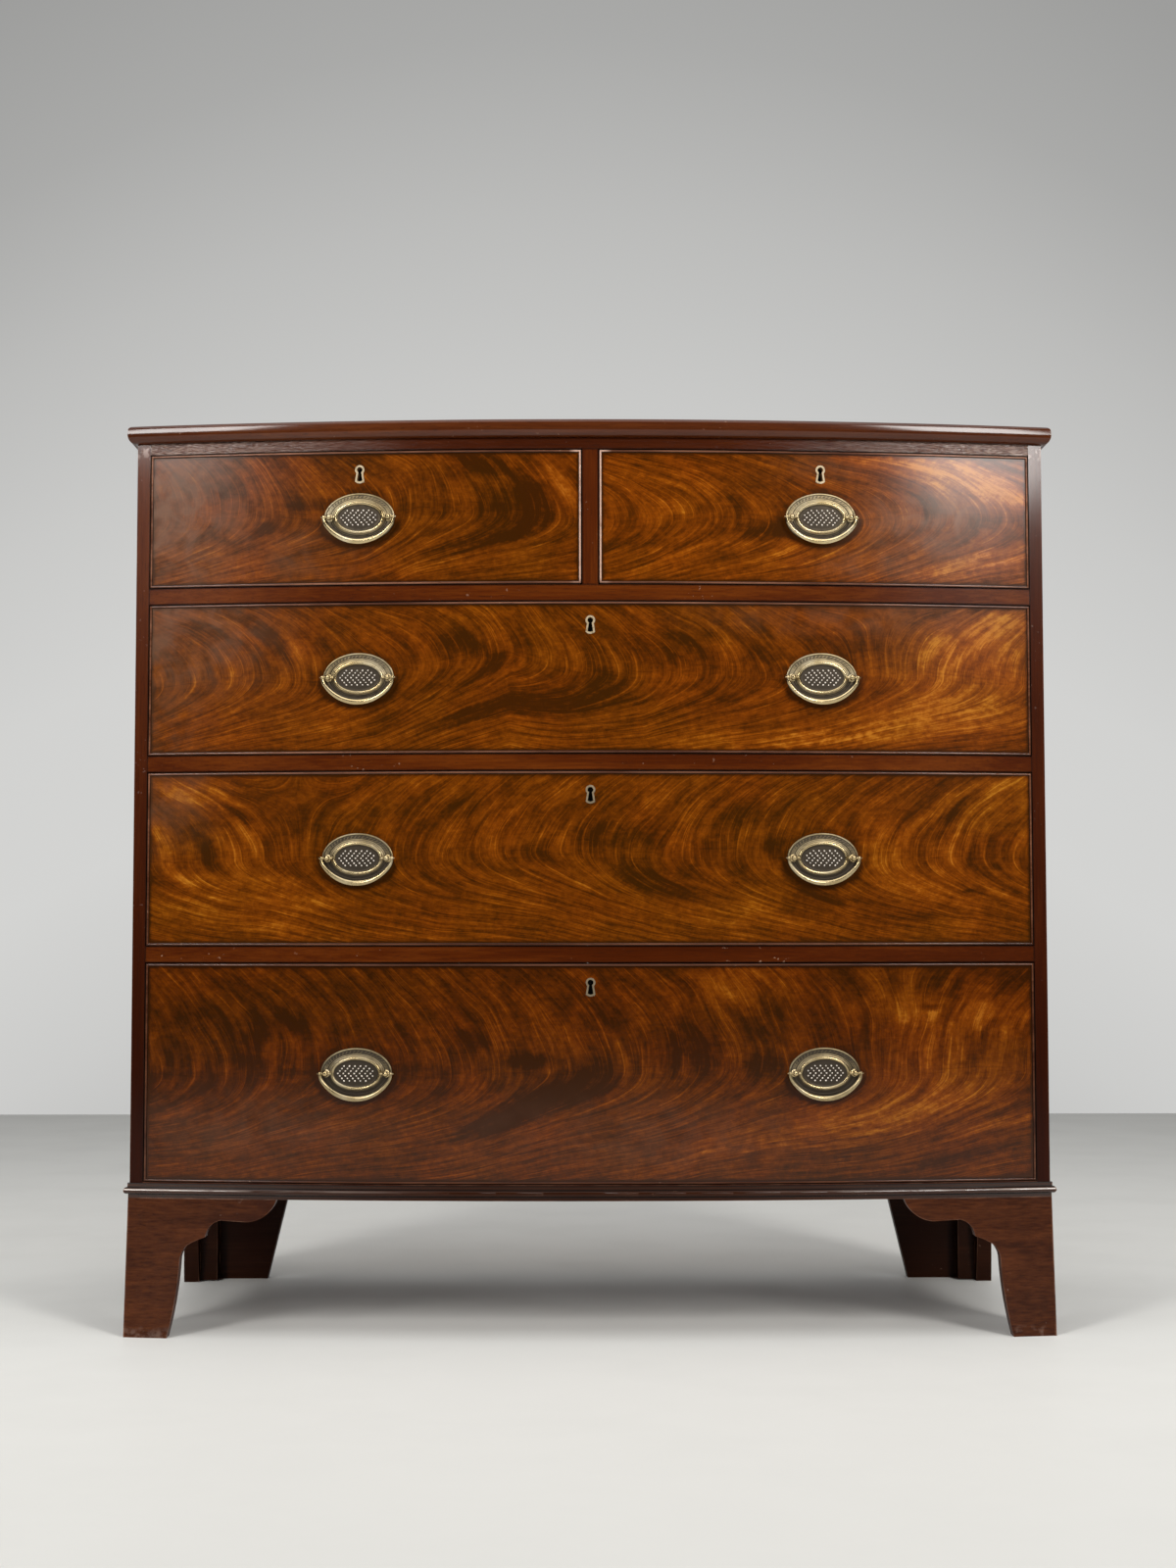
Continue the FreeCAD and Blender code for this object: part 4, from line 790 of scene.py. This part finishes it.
def latticeNoise(u, v, seed):
    # smooth noise from 0 to 1: random values on a lattice that repeats, joined by a cubic blend
    count = 64
    table = np.random.default_rng(seed).random((count, count))
    iu, iv = np.floor(u).astype(int), np.floor(v).astype(int)
    fu, fv = u - iu, v - iv
    fu, fv = fu * fu * (3.0 - 2.0 * fu), fv * fv * (3.0 - 2.0 * fv)
    pick = lambda a, b: table[(iu + a) % count, (iv + b) % count]
    low = pick(0, 0) * (1.0 - fu) + pick(1, 0) * fu
    high = pick(0, 1) * (1.0 - fu) + pick(1, 1) * fu
    return low * (1.0 - fv) + high * fv


def noiseSum(layers, u, v, seed):
    # the sum over the layers of strength times (noise - 1/2)
    return sum(strength * (latticeNoise(u / across, v / along, seed + step) - 0.5)
               for strength, across, along, step in layers)


def smoothStep(low, high, value):
    # 0 below low, 1 above high, and 3 s s - 2 s s s between them, where s is the share of the way
    share = np.clip((value - low) / (high - low), 0.0, 1.0)
    return share * share * (3.0 - 2.0 * share)


def streaksAt(x, z, look):
    # streak coordinate u: x plus k times the squared height from the spine, so streaks are parabolas,
    # moved by the drifts. v runs along them. k is smaller above the spine, and changes sign past the turn.
    spineX, spineZ = np.array(look["spine"], float).T
    waver, wave = veneer["waver"]
    height = z - np.interp(x, spineX, spineZ) - waver * np.sin(x / wave + look["seed"])
    x = x * look["hand"]
    turn = smoothStep(*look["turn"], x)
    above = look["upper"] * (1.0 - turn) - look["back"] * turn
    back = np.where(height > 0.0, above, look["lower"]) * mm * height ** 2
    u = x + back + noiseSum(veneer["drifts"], x, z, look["seed"])
    v = np.sign(height) * np.hypot(height, back)
    return u, v, height


def insideKeyhole(x, z):
    # keyhole grown by the cover's half width: a disc over a flared slot
    grow = veneer["underRing"]
    headZ = veneer["keyHalf"] - veneer["keyHead"]
    head = np.hypot(x, z - headZ) < veneer["keyHead"] + grow
    share = (headZ - z) / (headZ + veneer["keyHalf"])
    flank = veneer["keyNeck"] + (veneer["keyFoot"] - veneer["keyNeck"]) * share + grow
    return head | ((np.abs(x) < flank) & (z < headZ) & (z > -veneer["keyHalf"] - grow))


def gridLine(low, high, fineMiddle):
    # coarse steps from end to end, with fine ones round fineMiddle
    coarse = np.linspace(low, high, int(round((high - low) / veneer["step"])) + 1)
    half = veneer["fineHalf"]
    coarse = coarse[np.abs(coarse - fineMiddle) > half + 0.5 * veneer["fineStep"]]
    fine = fineMiddle + np.arange(-half, half + 1e-9, veneer["fineStep"])
    return np.sort(np.concatenate([coarse, fine]))


def hingesOf(name):
    # the joints of a drawer's bails
    return [joints[key] for key in joints if key.startswith(name + "_handle") and key.endswith("_hinge")]


def plumesAt(z, u, v, look):
    # darkness: a flat topped bell curve for each plume, in the streak coordinate and z, frayed by noise
    dark = np.zeros(len(z))
    fray = noiseSum(veneer["feathers"], u, v, look["seed"])
    for plumeX, plumeZ, halfWidth, halfHeight, strength in look["plumes"]:
        plumeU = streaksAt(np.array([float(plumeX)]), np.array([float(plumeZ)]), look)[0][0]
        far = ((u - plumeU) / halfWidth) ** 2 + ((z - plumeZ) / halfHeight) ** 2
        depth = veneer["depths"][0 if strength > 0.0 else 1] * strength
        dark += depth * np.exp(-np.maximum(far + fray, 0.0) ** 1.6)
    return dark


def shadeAndDirtAt(name, x, z, edge):
    # darkness of dirt and painted shade: it falls off with the distance from the front's edge, as the shade
    # of the gap beside the cockbeads, and with the distance past an ellipse round each plate, where most of
    # it lies below the bail as a painted shadow. x and z are the room's.
    darkness, fade = veneer["edgeDirt"]
    dark = darkness * np.exp(-edge / fade)
    halfWidth, halfHeight, mean = veneer["plateRing"]
    allRound, below, fade = veneer["plateShadeAndDirt"]
    for spotX, _, spotZ in [hinge["pos_m"] for hinge in hingesOf(name)]:
        acrossX, acrossZ = (x - spotX) / mm / halfWidth, (z - spotZ) / mm / halfHeight
        past = np.maximum(np.hypot(acrossX, acrossZ) - 1.0, 0.0) * mean
        dark += (allRound + below * smoothStep(0.2, -0.7, acrossZ)) * np.exp(-(past / fade) ** 2)
    return dark


def sheenReflectionAt(x, z, look):
    # the painted reflection's strength: the highest of its flat topped bell curves
    bloom = np.zeros(len(x))
    for spotX, spotZ, halfWidth, halfHeight, strength in look["bloom"]:
        far = ((x - spotX) / halfWidth) ** 2 + ((z - spotZ) / halfHeight) ** 2
        bloom = np.maximum(bloom, strength * np.exp(-far ** 1.3))
    return bloom


def makeVeneer(name, look):
    # a grid over x and z whose y is the bow's, without the quads in the keyhole, thickened backwards. Each
    # point keeps its shade (lift less plumes less painted shade and dirt), painted reflection, tint and
    # streak coordinates.
    low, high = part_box(name + "_veneer")
    keyX = 0.5 * (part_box(name + "_lock")[0].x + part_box(name + "_lock")[1].x)
    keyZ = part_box(name + "_cockbeads")[1].z - veneer["keyDrop"]
    xs, zs = gridLine(low.x, high.x, keyX), gridLine(low.z, high.z, keyZ)
    z, x = np.meshgrid(zs, xs, indexing="ij")
    x, z = x.ravel(), z.ravel()
    localX, localZ = (x - 0.5 * (low.x + high.x)) / mm, (z - 0.5 * (low.z + high.z)) / mm
    edge = np.minimum(np.minimum(x - low.x, high.x - x), np.minimum(z - low.z, high.z - z)) / mm
    u, v, height = streaksAt(localX, localZ, look)
    shade = look["lift"] - plumesAt(localZ, u, v, look) - shadeAndDirtAt(name, x, z, edge)
    bloom = sheenReflectionAt(localX, localZ, look)
    stain = np.repeat(np.array([look["tint"]]), len(x), 0)
    faces = gridFaces(len(zs), len(xs))
    centreX, centreZ = x[faces].mean(1) - keyX, z[faces].mean(1) - keyZ
    faces = faces[~insideKeyhole(centreX, centreZ)]
    points = np.stack([x, bowY(x), z], -1)
    points, faces = thicken(points, faces, np.array((0.0, veneer["thickness"], 0.0)))
    both = lambda values: np.concatenate([values, values])
    buildPiece(name + "_flame_front", points, faces, name + "_drawer", flame,
               stands=[name + "_veneer"], numbers={"shade": both(shade), "bloom": both(bloom)},
               colours={"stain": both(stain)}, maps={"figure": both(np.stack([u, v], -1) * mm),
                                                     "shaft": both(np.stack([localX, height], -1) * mm)})


for name, look in fronts.items():
    makeVeneer(name, look)
print("flame veneers laid:", len(fronts))

plate = {
    # profile of the oval plate, from its back edge to its middle: half width, half height, height in mm,
    # and how dark its patina is
    "profile": [(0, 0, 0.1, 0), (20, 10, 0.1, 0), (39.4, 27.4, 0.1, 0), (40, 28, 0.35, 0.3),
                (40, 28, 0.85, 0.1),
                (39.7, 27.7, 1.2, 0), (39.1, 27.1, 1.4, 0), (38.4, 26.4, 1.38, 0), (38.0, 26.0, 1.15, 0.6),
                (37.6, 25.6, 1.1, 0.45), (36.8, 24.9, 1.2, 0.1), (35.8, 24.2, 1.25, 0.1),
                (34.8, 23.5, 1.27, 0.1),
                (33.8, 22.8, 1.27, 0.1), (33.0, 22.3, 1.22, 0.2), (32.6, 22.0, 1.1, 0.6),
                (32.2, 21.8, 1.2, 0.5),
                (31.9, 21.6, 1.6, 0.1), (31.5, 21.3, 1.95, 0), (31.0, 20.9, 2.1, 0), (30.6, 20.5, 2.0, 0.2),
                (30.3, 20.3, 2.05, 0.4), (30.0, 20.0, 2.35, 0.1), (29.5, 19.5, 2.7, 0),
                (29.0, 19.0, 2.78, 0.1),
                (28.7, 18.7, 2.8, 0.5), (28.4, 18.4, 3.1, 0.2), (28.15, 18.15, 3.6, 0), (27.8, 17.8, 4.1, 0),
                (27.2, 17.2, 4.4, 0), (26.6, 16.6, 4.48, 0), (26.0, 16.0, 4.35, 0), (25.5, 15.5, 3.95, 0),
                (25.1, 15.1, 3.4, 0.3), (24.8, 14.8, 2.9, 0.8), (24.2, 14.2, 2.6, 1.0),
                (22.5, 12.8, 2.55, 0.95),
                (21.5, 12.1, 2.58, 1.0), (18, 10, 2.65, 1.02), (10, 5.6, 2.8, 1.02), (0, 0, 2.85, 1.02)],
    "sides": 288,
    "age": {"short_left": 0.0, "short_right": 0.0, "upper_long": 0.04, "middle_long": 0.14,
            "lower_long": 0.20},   # how much darker the patina of a drawer's plates is
    "leafBand": (33.0, 37.6),          # half widths between which the border is chased
    "leafDeep": 0.16, "leafCount": 52,
    "borderFrom": (28.2, 29.6), "borderDark": 0.42,   # half widths over which the border's patina grows
    "dotField": (21.6, 10.6),          # half width and half height of the dotted middle
    "dotPitch": (6.1, 2.7), "dotSlant": 2.3, "dotHeight": 1.3, "dotFloor": 2.75, "dotSides": 8,
    "dotRings": [(0.0, -0.3), (0.62, -0.3), (0.66, 0.25), (0.40, 0.68), (0.0, 0.78)],   # radius and rise
    "dotStretch": (1.08, 0.95), "dotSize": (1.32, 0.30),   # size: the least, and how much more at most
}
post = {
    "spacing": 33.5,
    "profile": [(0, 1.0), (4.3, 1.0), (4.4, 1.5), (4.1, 1.95), (3.3, 2.15), (3.0, 2.5), (3.15, 2.9),
                (2.7, 3.3),
                (2.3, 3.9), (2.25, 4.7), (2.5, 5.1)],
    "ball": 3.4, "axis": 8.2,
}
nut = {"radius": 5.5, "start": -21.5, "length": 3.2, "shank": 2.2, "shankEnd": -26.2}
bail = {
    "halfWidth": 39.6, "drop": 27.8, "endRadius": 15.0, "samples": 110,
    "endWidth": 1.45, "lowWidth": 2.75, "endDepth": 1.45, "lowDepth": 1.95,
    "section": [(-1.0, 0.0), (-0.93, 0.35), (-0.55, 0.8), (-0.12, 1.0), (0.0, 1.0), (0.5, 0.72),
                (0.94, 0.3), (1.0, 0.0), (0.92, -0.45), (0.6, -0.85), (0.0, -1.0), (-0.6, -0.85),
                (-0.92, -0.45)],   # outwards and forwards, in half widths and half depths
    "pin": 1.38, "pinEnd": 28.0, "pinBall": 1.68, "elbow": 2.2, "sides": 20,
    "tip": [(0, 0.0), (1.9, 0.0), (1.3, 1.2), (0.95, 1.9), (0.7, 2.9), (0, 3.5)],   # radius, past the elbow
}


def handlePlace(joint):
    # face point under the middle of the hinge line, and the directions along the face and outwards
    axis = -Vector(joint["axis"])
    outward = Vector((axis.y, -axis.x, 0.0))
    return Vector(joint["pos_m"]) - outward * chest["hingeOut"], axis, outward


def toWorld(points, place):
    # local (along, outward, up) in mm to the room
    origin, along, outward = [np.array(part) for part in place]
    up = np.array((0.0, 0.0, 1.0))
    return origin + mm * (points[:, :1] * along + points[:, 1:2] * outward + points[:, 2:] * up)


def ovalPlate():
    # ellipses of the profile's half width and half height, each at its own height less the chasing, which
    # is |sin(n a / 2)| round the border's upper half; the patina is darkest in it, and the border's mark is
    # up to doubled on its lower half, below the bail
    profile = np.array(plate["profile"], float)
    angle = np.linspace(0.0, 2.0 * math.pi, plate["sides"], endpoint=False)
    a, b, height, patina = [profile[:, i:i + 1] for i in range(4)]
    height = np.repeat(height, plate["sides"], 1)
    low, high = plate["leafBand"]
    across = (a - low) / (high - low)
    inBand = np.sin(math.pi * np.clip(across, 0.0, 1.0)) * (height[:, :1] < 1.5)
    atTop = np.clip(np.sin(angle) * 1.6, 0.0, 1.0) ** 2
    leaf = np.abs(np.sin(0.5 * plate["leafCount"] * angle + 2.2 * across)) ** 0.7
    height = height - plate["leafDeep"] * inBand * atTop * leaf
    points = np.stack([a * np.cos(angle), height, b * np.sin(angle)], -1).reshape(-1, 3)
    below = np.clip(0.4 - 1.6 * np.sin(angle), 0.0, 1.0)
    border = plate["borderDark"] * smoothStep(*plate["borderFrom"], a) * (1.0 + below)
    marks = np.repeat(patina, plate["sides"], 1) + 0.5 * inBand * atTop * leaf + border
    return points, gridFaces(len(profile), plate["sides"], closedColumns=True), marks.ravel()


def plateDots(hand):
    # raised beads in nested chevrons: columns of points that slant back from the middle line. A bead is a
    # stack of rings, stretched along its row's slant; hand mirrors them all.
    halfWidth, halfHeight = plate["dotField"]
    pitchX, pitchZ = plate["dotPitch"]
    column, row = np.meshgrid(np.arange(-6, 7), np.arange(-4, 5), indexing="ij")
    x = column * pitchX + np.abs(row) * plate["dotSlant"] - 2.0
    z = row * pitchZ
    keep = (x / halfWidth) ** 2 + (z / halfHeight) ** 2 < 1.0
    x, z, row = x[keep], z[keep], row[keep]
    rng = np.random.default_rng(5)
    least, more = plate["dotSize"]
    size = least + more * rng.random(len(x))
    turn = np.where(row >= 0, 1.0, -1.0) * 0.75 * (row != 0) + 0.3 * (rng.random(len(x)) - 0.5)
    ring = np.linspace(0.0, 2.0 * math.pi, plate["dotSides"], endpoint=False)
    radius, rise = np.array(plate["dotRings"]).T[:, :, None]
    stretch, squeeze = plate["dotStretch"]
    along = (stretch * radius * np.cos(ring)).ravel()
    aside = (squeeze * radius * np.sin(ring)).ravel()
    up = (rise + 0.0 * ring).ravel() * plate["dotHeight"]
    px = x[:, None] + size[:, None] * (along * np.cos(turn)[:, None] - aside * np.sin(turn)[:, None])
    pz = z[:, None] + size[:, None] * (along * np.sin(turn)[:, None] + aside * np.cos(turn)[:, None])
    py = plate["dotFloor"] + np.repeat(up[None], len(x), 0)
    points = np.stack([hand * px, py, pz], -1).reshape(-1, 3)
    faces = gridFaces(len(radius), len(ring), closedColumns=True)
    faces = (faces[None] + (np.arange(len(x)) * len(along))[:, None, None]).reshape(-1, 4)
    return points, faces, np.full(len(points), -0.4)


def handleShells(hand, age):
    # plate, dots, and for each end a post, its nut and its shank; age darkens the plate
    points, faces, marks = ovalPlate()
    shells = [(points, faces, marks + age), plateDots(hand)]
    ball = ballProfile(post["ball"], post["axis"])
    turned = post["profile"] + [tuple(spot) for spot in ball[2:]]
    nutStart, nutEnd = nut["start"], nut["start"] - nut["length"]
    nutProfile = [(0, nutStart), (nut["radius"] - 0.4, nutStart), (nut["radius"], nutStart - 0.4),
                  (nut["radius"], nutEnd + 0.4), (nut["radius"] - 0.4, nutEnd), (0, nutEnd)]
    shankProfile = [(0, 0.9), (nut["shank"], 0.9), (nut["shank"], nut["shankEnd"] + 0.5),
                    (nut["shank"] - 0.5, nut["shankEnd"]), (0, nut["shankEnd"])]
    for side in (-1, 1):
        shift = np.array((side * post["spacing"], 0.0, 0.0))
        # profile, how many sides, and how dark the patina
        for profile, sides, mark in ((turned, 28, 0.1), (nutProfile, 6, 0.45), (shankProfile, 16, 0.3)):
            points, faces = lathe(profile, sides)
            shells.append((points + shift, faces, np.full(len(points), mark)))
    return shells


def bailPath():
    # three tangent arcs: a small one at each end and a large one below, sampled by length
    a, b, r = bail["halfWidth"], bail["drop"], bail["endRadius"]
    offset = ((a - r) ** 2 - (b - r) ** 2) / (2.0 * (b - r))
    big, slope = b + offset, math.atan2(offset, a - r)
    lengths = np.array([r * slope, big * (math.pi - 2.0 * slope), r * slope])
    ends = np.cumsum(lengths)
    s = np.linspace(0.0, ends[2], bail["samples"])
    first = s / r
    second = slope + (s - ends[0]) / big
    third = math.pi - slope + (s - ends[1]) / r
    angle = np.where(s < ends[0], first, np.where(s < ends[1], second, third))
    small = (s < ends[0]) | (s >= ends[1])
    side = np.where(s < ends[0], 1.0, -1.0)
    x = np.where(small, side * (a - r) + r * np.cos(angle), big * np.cos(angle))
    z = np.where(small, -r * np.sin(angle), offset - big * np.sin(angle))
    return x, z, np.cos(angle), -np.sin(angle), s / ends[2]


def bailShells():
    # the rod's section is a flat ridge carried along the path, wider and deeper towards the bottom. At each
    # end are a pin into the post, a ball where it enters, a ball at the elbow and a turned tip.
    x, z, outX, outZ, share = bailPath()
    swell = np.sin(math.pi * share) ** 0.8
    width = bail["endWidth"] + (bail["lowWidth"] - bail["endWidth"]) * swell
    depth = bail["endDepth"] + (bail["lowDepth"] - bail["endDepth"]) * swell
    section = np.array(bail["section"])
    grow = width[:, None] * section[:, 0]
    points = np.stack([x[:, None] + outX[:, None] * grow, post["axis"] + depth[:, None] * section[:, 1],
                       z[:, None] + outZ[:, None] * grow], -1)
    closing = [np.repeat(points[i].mean(0)[None, None], len(section), 1) for i in (0, -1)]
    points = np.concatenate([closing[0], points, closing[1]], 0)
    shells = [(points.reshape(-1, 3), gridFaces(len(points), len(section), closedColumns=True))]
    reach, inner, radius = bail["halfWidth"], bail["pinEnd"], bail["pin"]
    pin = [(0, inner), (radius, inner), (radius, reach), (0, reach)]
    tip = [(radius, reach + past) for radius, past in bail["tip"]]
    turned = [pin, ballProfile(bail["pinBall"], inner), ballProfile(bail["elbow"], reach), tip]
    for side in (-1, 1):
        for profile in turned:
            points, faces = latheAcross(profile, bail["sides"])
            points = points * np.array((side, 1.0, 1.0)) + np.array((0.0, post["axis"], 0.0))
            shells.append((points, faces))
    return shells


for name in fronts:
    age, shells = plate["age"][name], []
    for hinge in hingesOf(name):
        place, body = handlePlace(hinge), hinge["child"]
        hand = 1.0 if hinge["pos_m"][0] < 0.0 else -1.0
        shells += [(toWorld(points, place), faces, marks) for points, faces, marks in handleShells(hand, age)]
        points, faces, marks = joinShells(bailShells())
        buildPiece(body.replace("_handle", "_swan_bail"), toWorld(points, place), faces, body, brass,
                   stands=[body.replace("_handle", "_bail")], crease=0.5,
                   numbers={"patina": marks + 1.6 * age})
    points, faces, marks = joinShells(shells)
    buildPiece(name + "_oval_plates", points, faces, name + "_drawer", brass,
               stands=[name + "_handle_fittings"], crease=0.9, numbers={"patina": marks})
print("handles made")

room = {
    "floorEnd": 2.99, "floorReach": 7.0,
    # brightness of the floor from before the chest to its far end, painted light: lighter under and behind
    # the chest against its shadow and darker where less light reaches; and of the wall from low to high
    "floorPaintedLight": [(-1.3, 0.60), (-0.55, 0.735), (-0.2, 0.79), (0.3, 0.90), (0.9, 0.85), (1.9, 0.75),
                    (2.9, 0.62)],
    "wallShades": [(-0.066, 0.550), (-0.029, 0.598), (0.046, 0.655), (0.12, 0.645), (0.193, 0.585),
                   (0.264, 0.50), (0.332, 0.40), (0.40, 0.34)],
    "wallCurve": (0.06, 1.3), "wallDrop": 0.03,   # how the wall's bands rise towards the sides
    "ambient": 0.36,
    "smudge": (0.45, 0.45, 0.43),
    "screenRadius": 4.3, "screenHeight": 4.6, "screenColour": (0.012, 0.011, 0.010, 1.0),
    "screenHalfAngle": 85.0, "screenRoof": 0.3,
    "lampAim": (0.0, -0.15, 0.55),
}
lights = {
    "leftWindow": {"at": (-2.1, -3.45, 2.38), "size": (0.75, 1.75), "watts": 76.0,
                   "colour": (1.0, 0.985, 0.96)},
    "rightWindow": {"at": (2.0, -3.45, 2.33), "size": (0.75, 1.8), "watts": 88.0,
                    "colour": (1.0, 0.98, 0.95)},
    "overhead": {"at": (0.0, -0.9, 3.3), "size": (3.0, 2.4), "watts": 50.0, "colour": (1.0, 1.0, 1.0)},
}
view = {"at": (-0.0196, -2.8603, 0.4504), "yaw": 0.370, "pitch": 3.5704, "roll": -0.037, "lens": 54.09}


def shadesOver(tree, value, shades, tint):
    # ramp through (value, brightness) pairs, each brightness tinted
    low, high = shades[0][0], shades[-1][0]
    stops = [((place - low) / (high - low), tuple(shade * part for part in tint)) for place, shade in shades]
    return rampOf(tree, rangeOf(tree, value, low, high), stops)


def makeFloor():
    # a flat pale floor, whose colour follows its painted light from front to back, with faint smudges
    half, end = room["floorReach"], room["floorEnd"]
    mesh = bpy.data.meshes.new("floor")
    mesh.from_pydata([(-half, -half, 0.0), (half, -half, 0.0), (half, end, 0.0), (-half, end, 0.0)], [],
                     [(0, 1, 2, 3)])
    material, tree, shader = newMaterial("paleFloor", **{"Specular IOR Level": 0.12})
    place = addNode(tree, "TexCoord").outputs["Object"]
    parts = addNode(tree, "SeparateXYZ", {"Vector": place})
    colour = shadesOver(tree, parts.outputs["Y"], room["floorPaintedLight"], (1.0, 0.998, 0.96))
    smudge = noiseOf(tree, place, scale=5.0, detail=5.0)
    colour = laidOver(tree, colour, rangeOf(tree, smudge, 0.45, 0.8, 0.0, 0.12), room["smudge"])
    tree.links.new(colour, shader.inputs["Base Color"])
    tree.links.new(rangeOf(tree, smudge, 0.3, 0.7, 0.48, 0.62), shader.inputs["Roughness"])
    mesh.materials.append(material)
    addObject("floor", mesh)


def makeScreen():
    # dark half round screen with a flat roof, behind the camera and seen only in reflections
    half, roof = math.radians(room["screenHalfAngle"]), room["screenRoof"]
    angle = np.linspace(-half, half, 40)
    ring = np.stack([room["screenRadius"] * np.sin(angle), -room["screenRadius"] * np.cos(angle)], -1)
    rows = [np.insert(ring, 2, 0.0, 1), np.insert(ring, 2, room["screenHeight"], 1)]
    rows.append(rows[1] * np.array((roof, 0.0, 1.0)) + np.array((0.0, roof, 0.0)))
    mesh = bpy.data.meshes.new("screen")
    mesh.from_pydata(np.concatenate(rows).tolist(), [], gridFaces(len(rows), len(angle)).tolist())
    uniform = {"Base Color": room["screenColour"], "Roughness": 0.9}
    mesh.materials.append(newMaterial("darkScreen", **uniform)[0])
    screen = addObject("screen", mesh)
    screen.visible_camera = False
    screen.visible_diffuse = False
    screen.visible_shadow = False
    screen.visible_transmission = False


def makeLights():
    # flat oblong lamps that all face one point
    for name, look in lights.items():
        lamp = bpy.data.lights.new(name, "AREA")
        lamp.shape = "RECTANGLE"
        lamp.size, lamp.size_y = look["size"]
        lamp.energy = look["watts"]
        lamp.color = look["colour"]
        holder = addObject(name, lamp)
        holder.location = look["at"]
        way = Vector(room["lampAim"]) - holder.location
        holder.rotation_euler = way.to_track_quat("-Z", "Y").to_euler()


def makeWorld():
    # one pale background for the camera and for reflections, and a soft even light for the rest. The bands of
    # the background rise with the square of the direction's x.
    world = bpy.data.worlds.new("studio")
    bpy.context.scene.world = world
    world.use_nodes = True
    tree = world.node_tree
    tree.nodes.clear()
    direction = addNode(tree, "SeparateXYZ", {"Vector": addNode(tree, "TexCoord").outputs["Generated"]})
    aside = times(tree, direction.outputs["X"], direction.outputs["X"])
    most, rise = room["wallCurve"]
    aside = mathNode(tree, "MINIMUM", aside, most)
    height = mathNode(tree, "MULTIPLY_ADD", aside, rise, direction.outputs["Z"])
    height = mathNode(tree, "SUBTRACT", height, room["wallDrop"])
    wall = shadesOver(tree, height, room["wallShades"], (1.0, 1.0, 0.982))
    path = addNode(tree, "LightPath")
    seen = mathNode(tree, "MAXIMUM", path.outputs["Is Camera Ray"], path.outputs["Is Glossy Ray"])
    seen = mathNode(tree, "MAXIMUM", seen, path.outputs["Is Transmission Ray"])
    soft = addNode(tree, "Background", {"Color": (1.0, 1.0, 1.0, 1.0), "Strength": room["ambient"]})
    shown = addNode(tree, "Background", {"Color": wall, "Strength": 1.0})
    mixed = addNode(tree, "MixShader", {0: seen, 1: soft.outputs[0], 2: shown.outputs[0]})
    addNode(tree, "OutputWorld", {"Surface": mixed.outputs[0]})


def makeCamera():
    # the camera looks along its yaw and pitch, then turns by its roll; angles are in degrees
    yaw, pitch, roll = [math.radians(view[key]) for key in ("yaw", "pitch", "roll")]
    right = Vector((math.cos(yaw), -math.sin(yaw), 0.0))
    forward = Vector((math.cos(pitch) * math.sin(yaw), math.cos(pitch) * math.cos(yaw), math.sin(pitch)))
    up = right.cross(forward)
    turnedRight = right * math.cos(roll) + up * math.sin(roll)
    turnedUp = up * math.cos(roll) - right * math.sin(roll)
    camera = bpy.data.cameras.new("camera")
    camera.sensor_width = 36.0
    camera.lens = view["lens"]
    holder = addObject("camera", camera)
    turn = Matrix((turnedRight, turnedUp, -forward)).transposed().to_4x4()
    holder.matrix_world = Matrix.Translation(view["at"]) @ turn
    bpy.context.scene.camera = holder


makeFloor()
makeScreen()
makeLights()
makeWorld()
makeCamera()
bpy.context.scene.view_settings.view_transform = "Standard"
print("floor, lights and camera set")
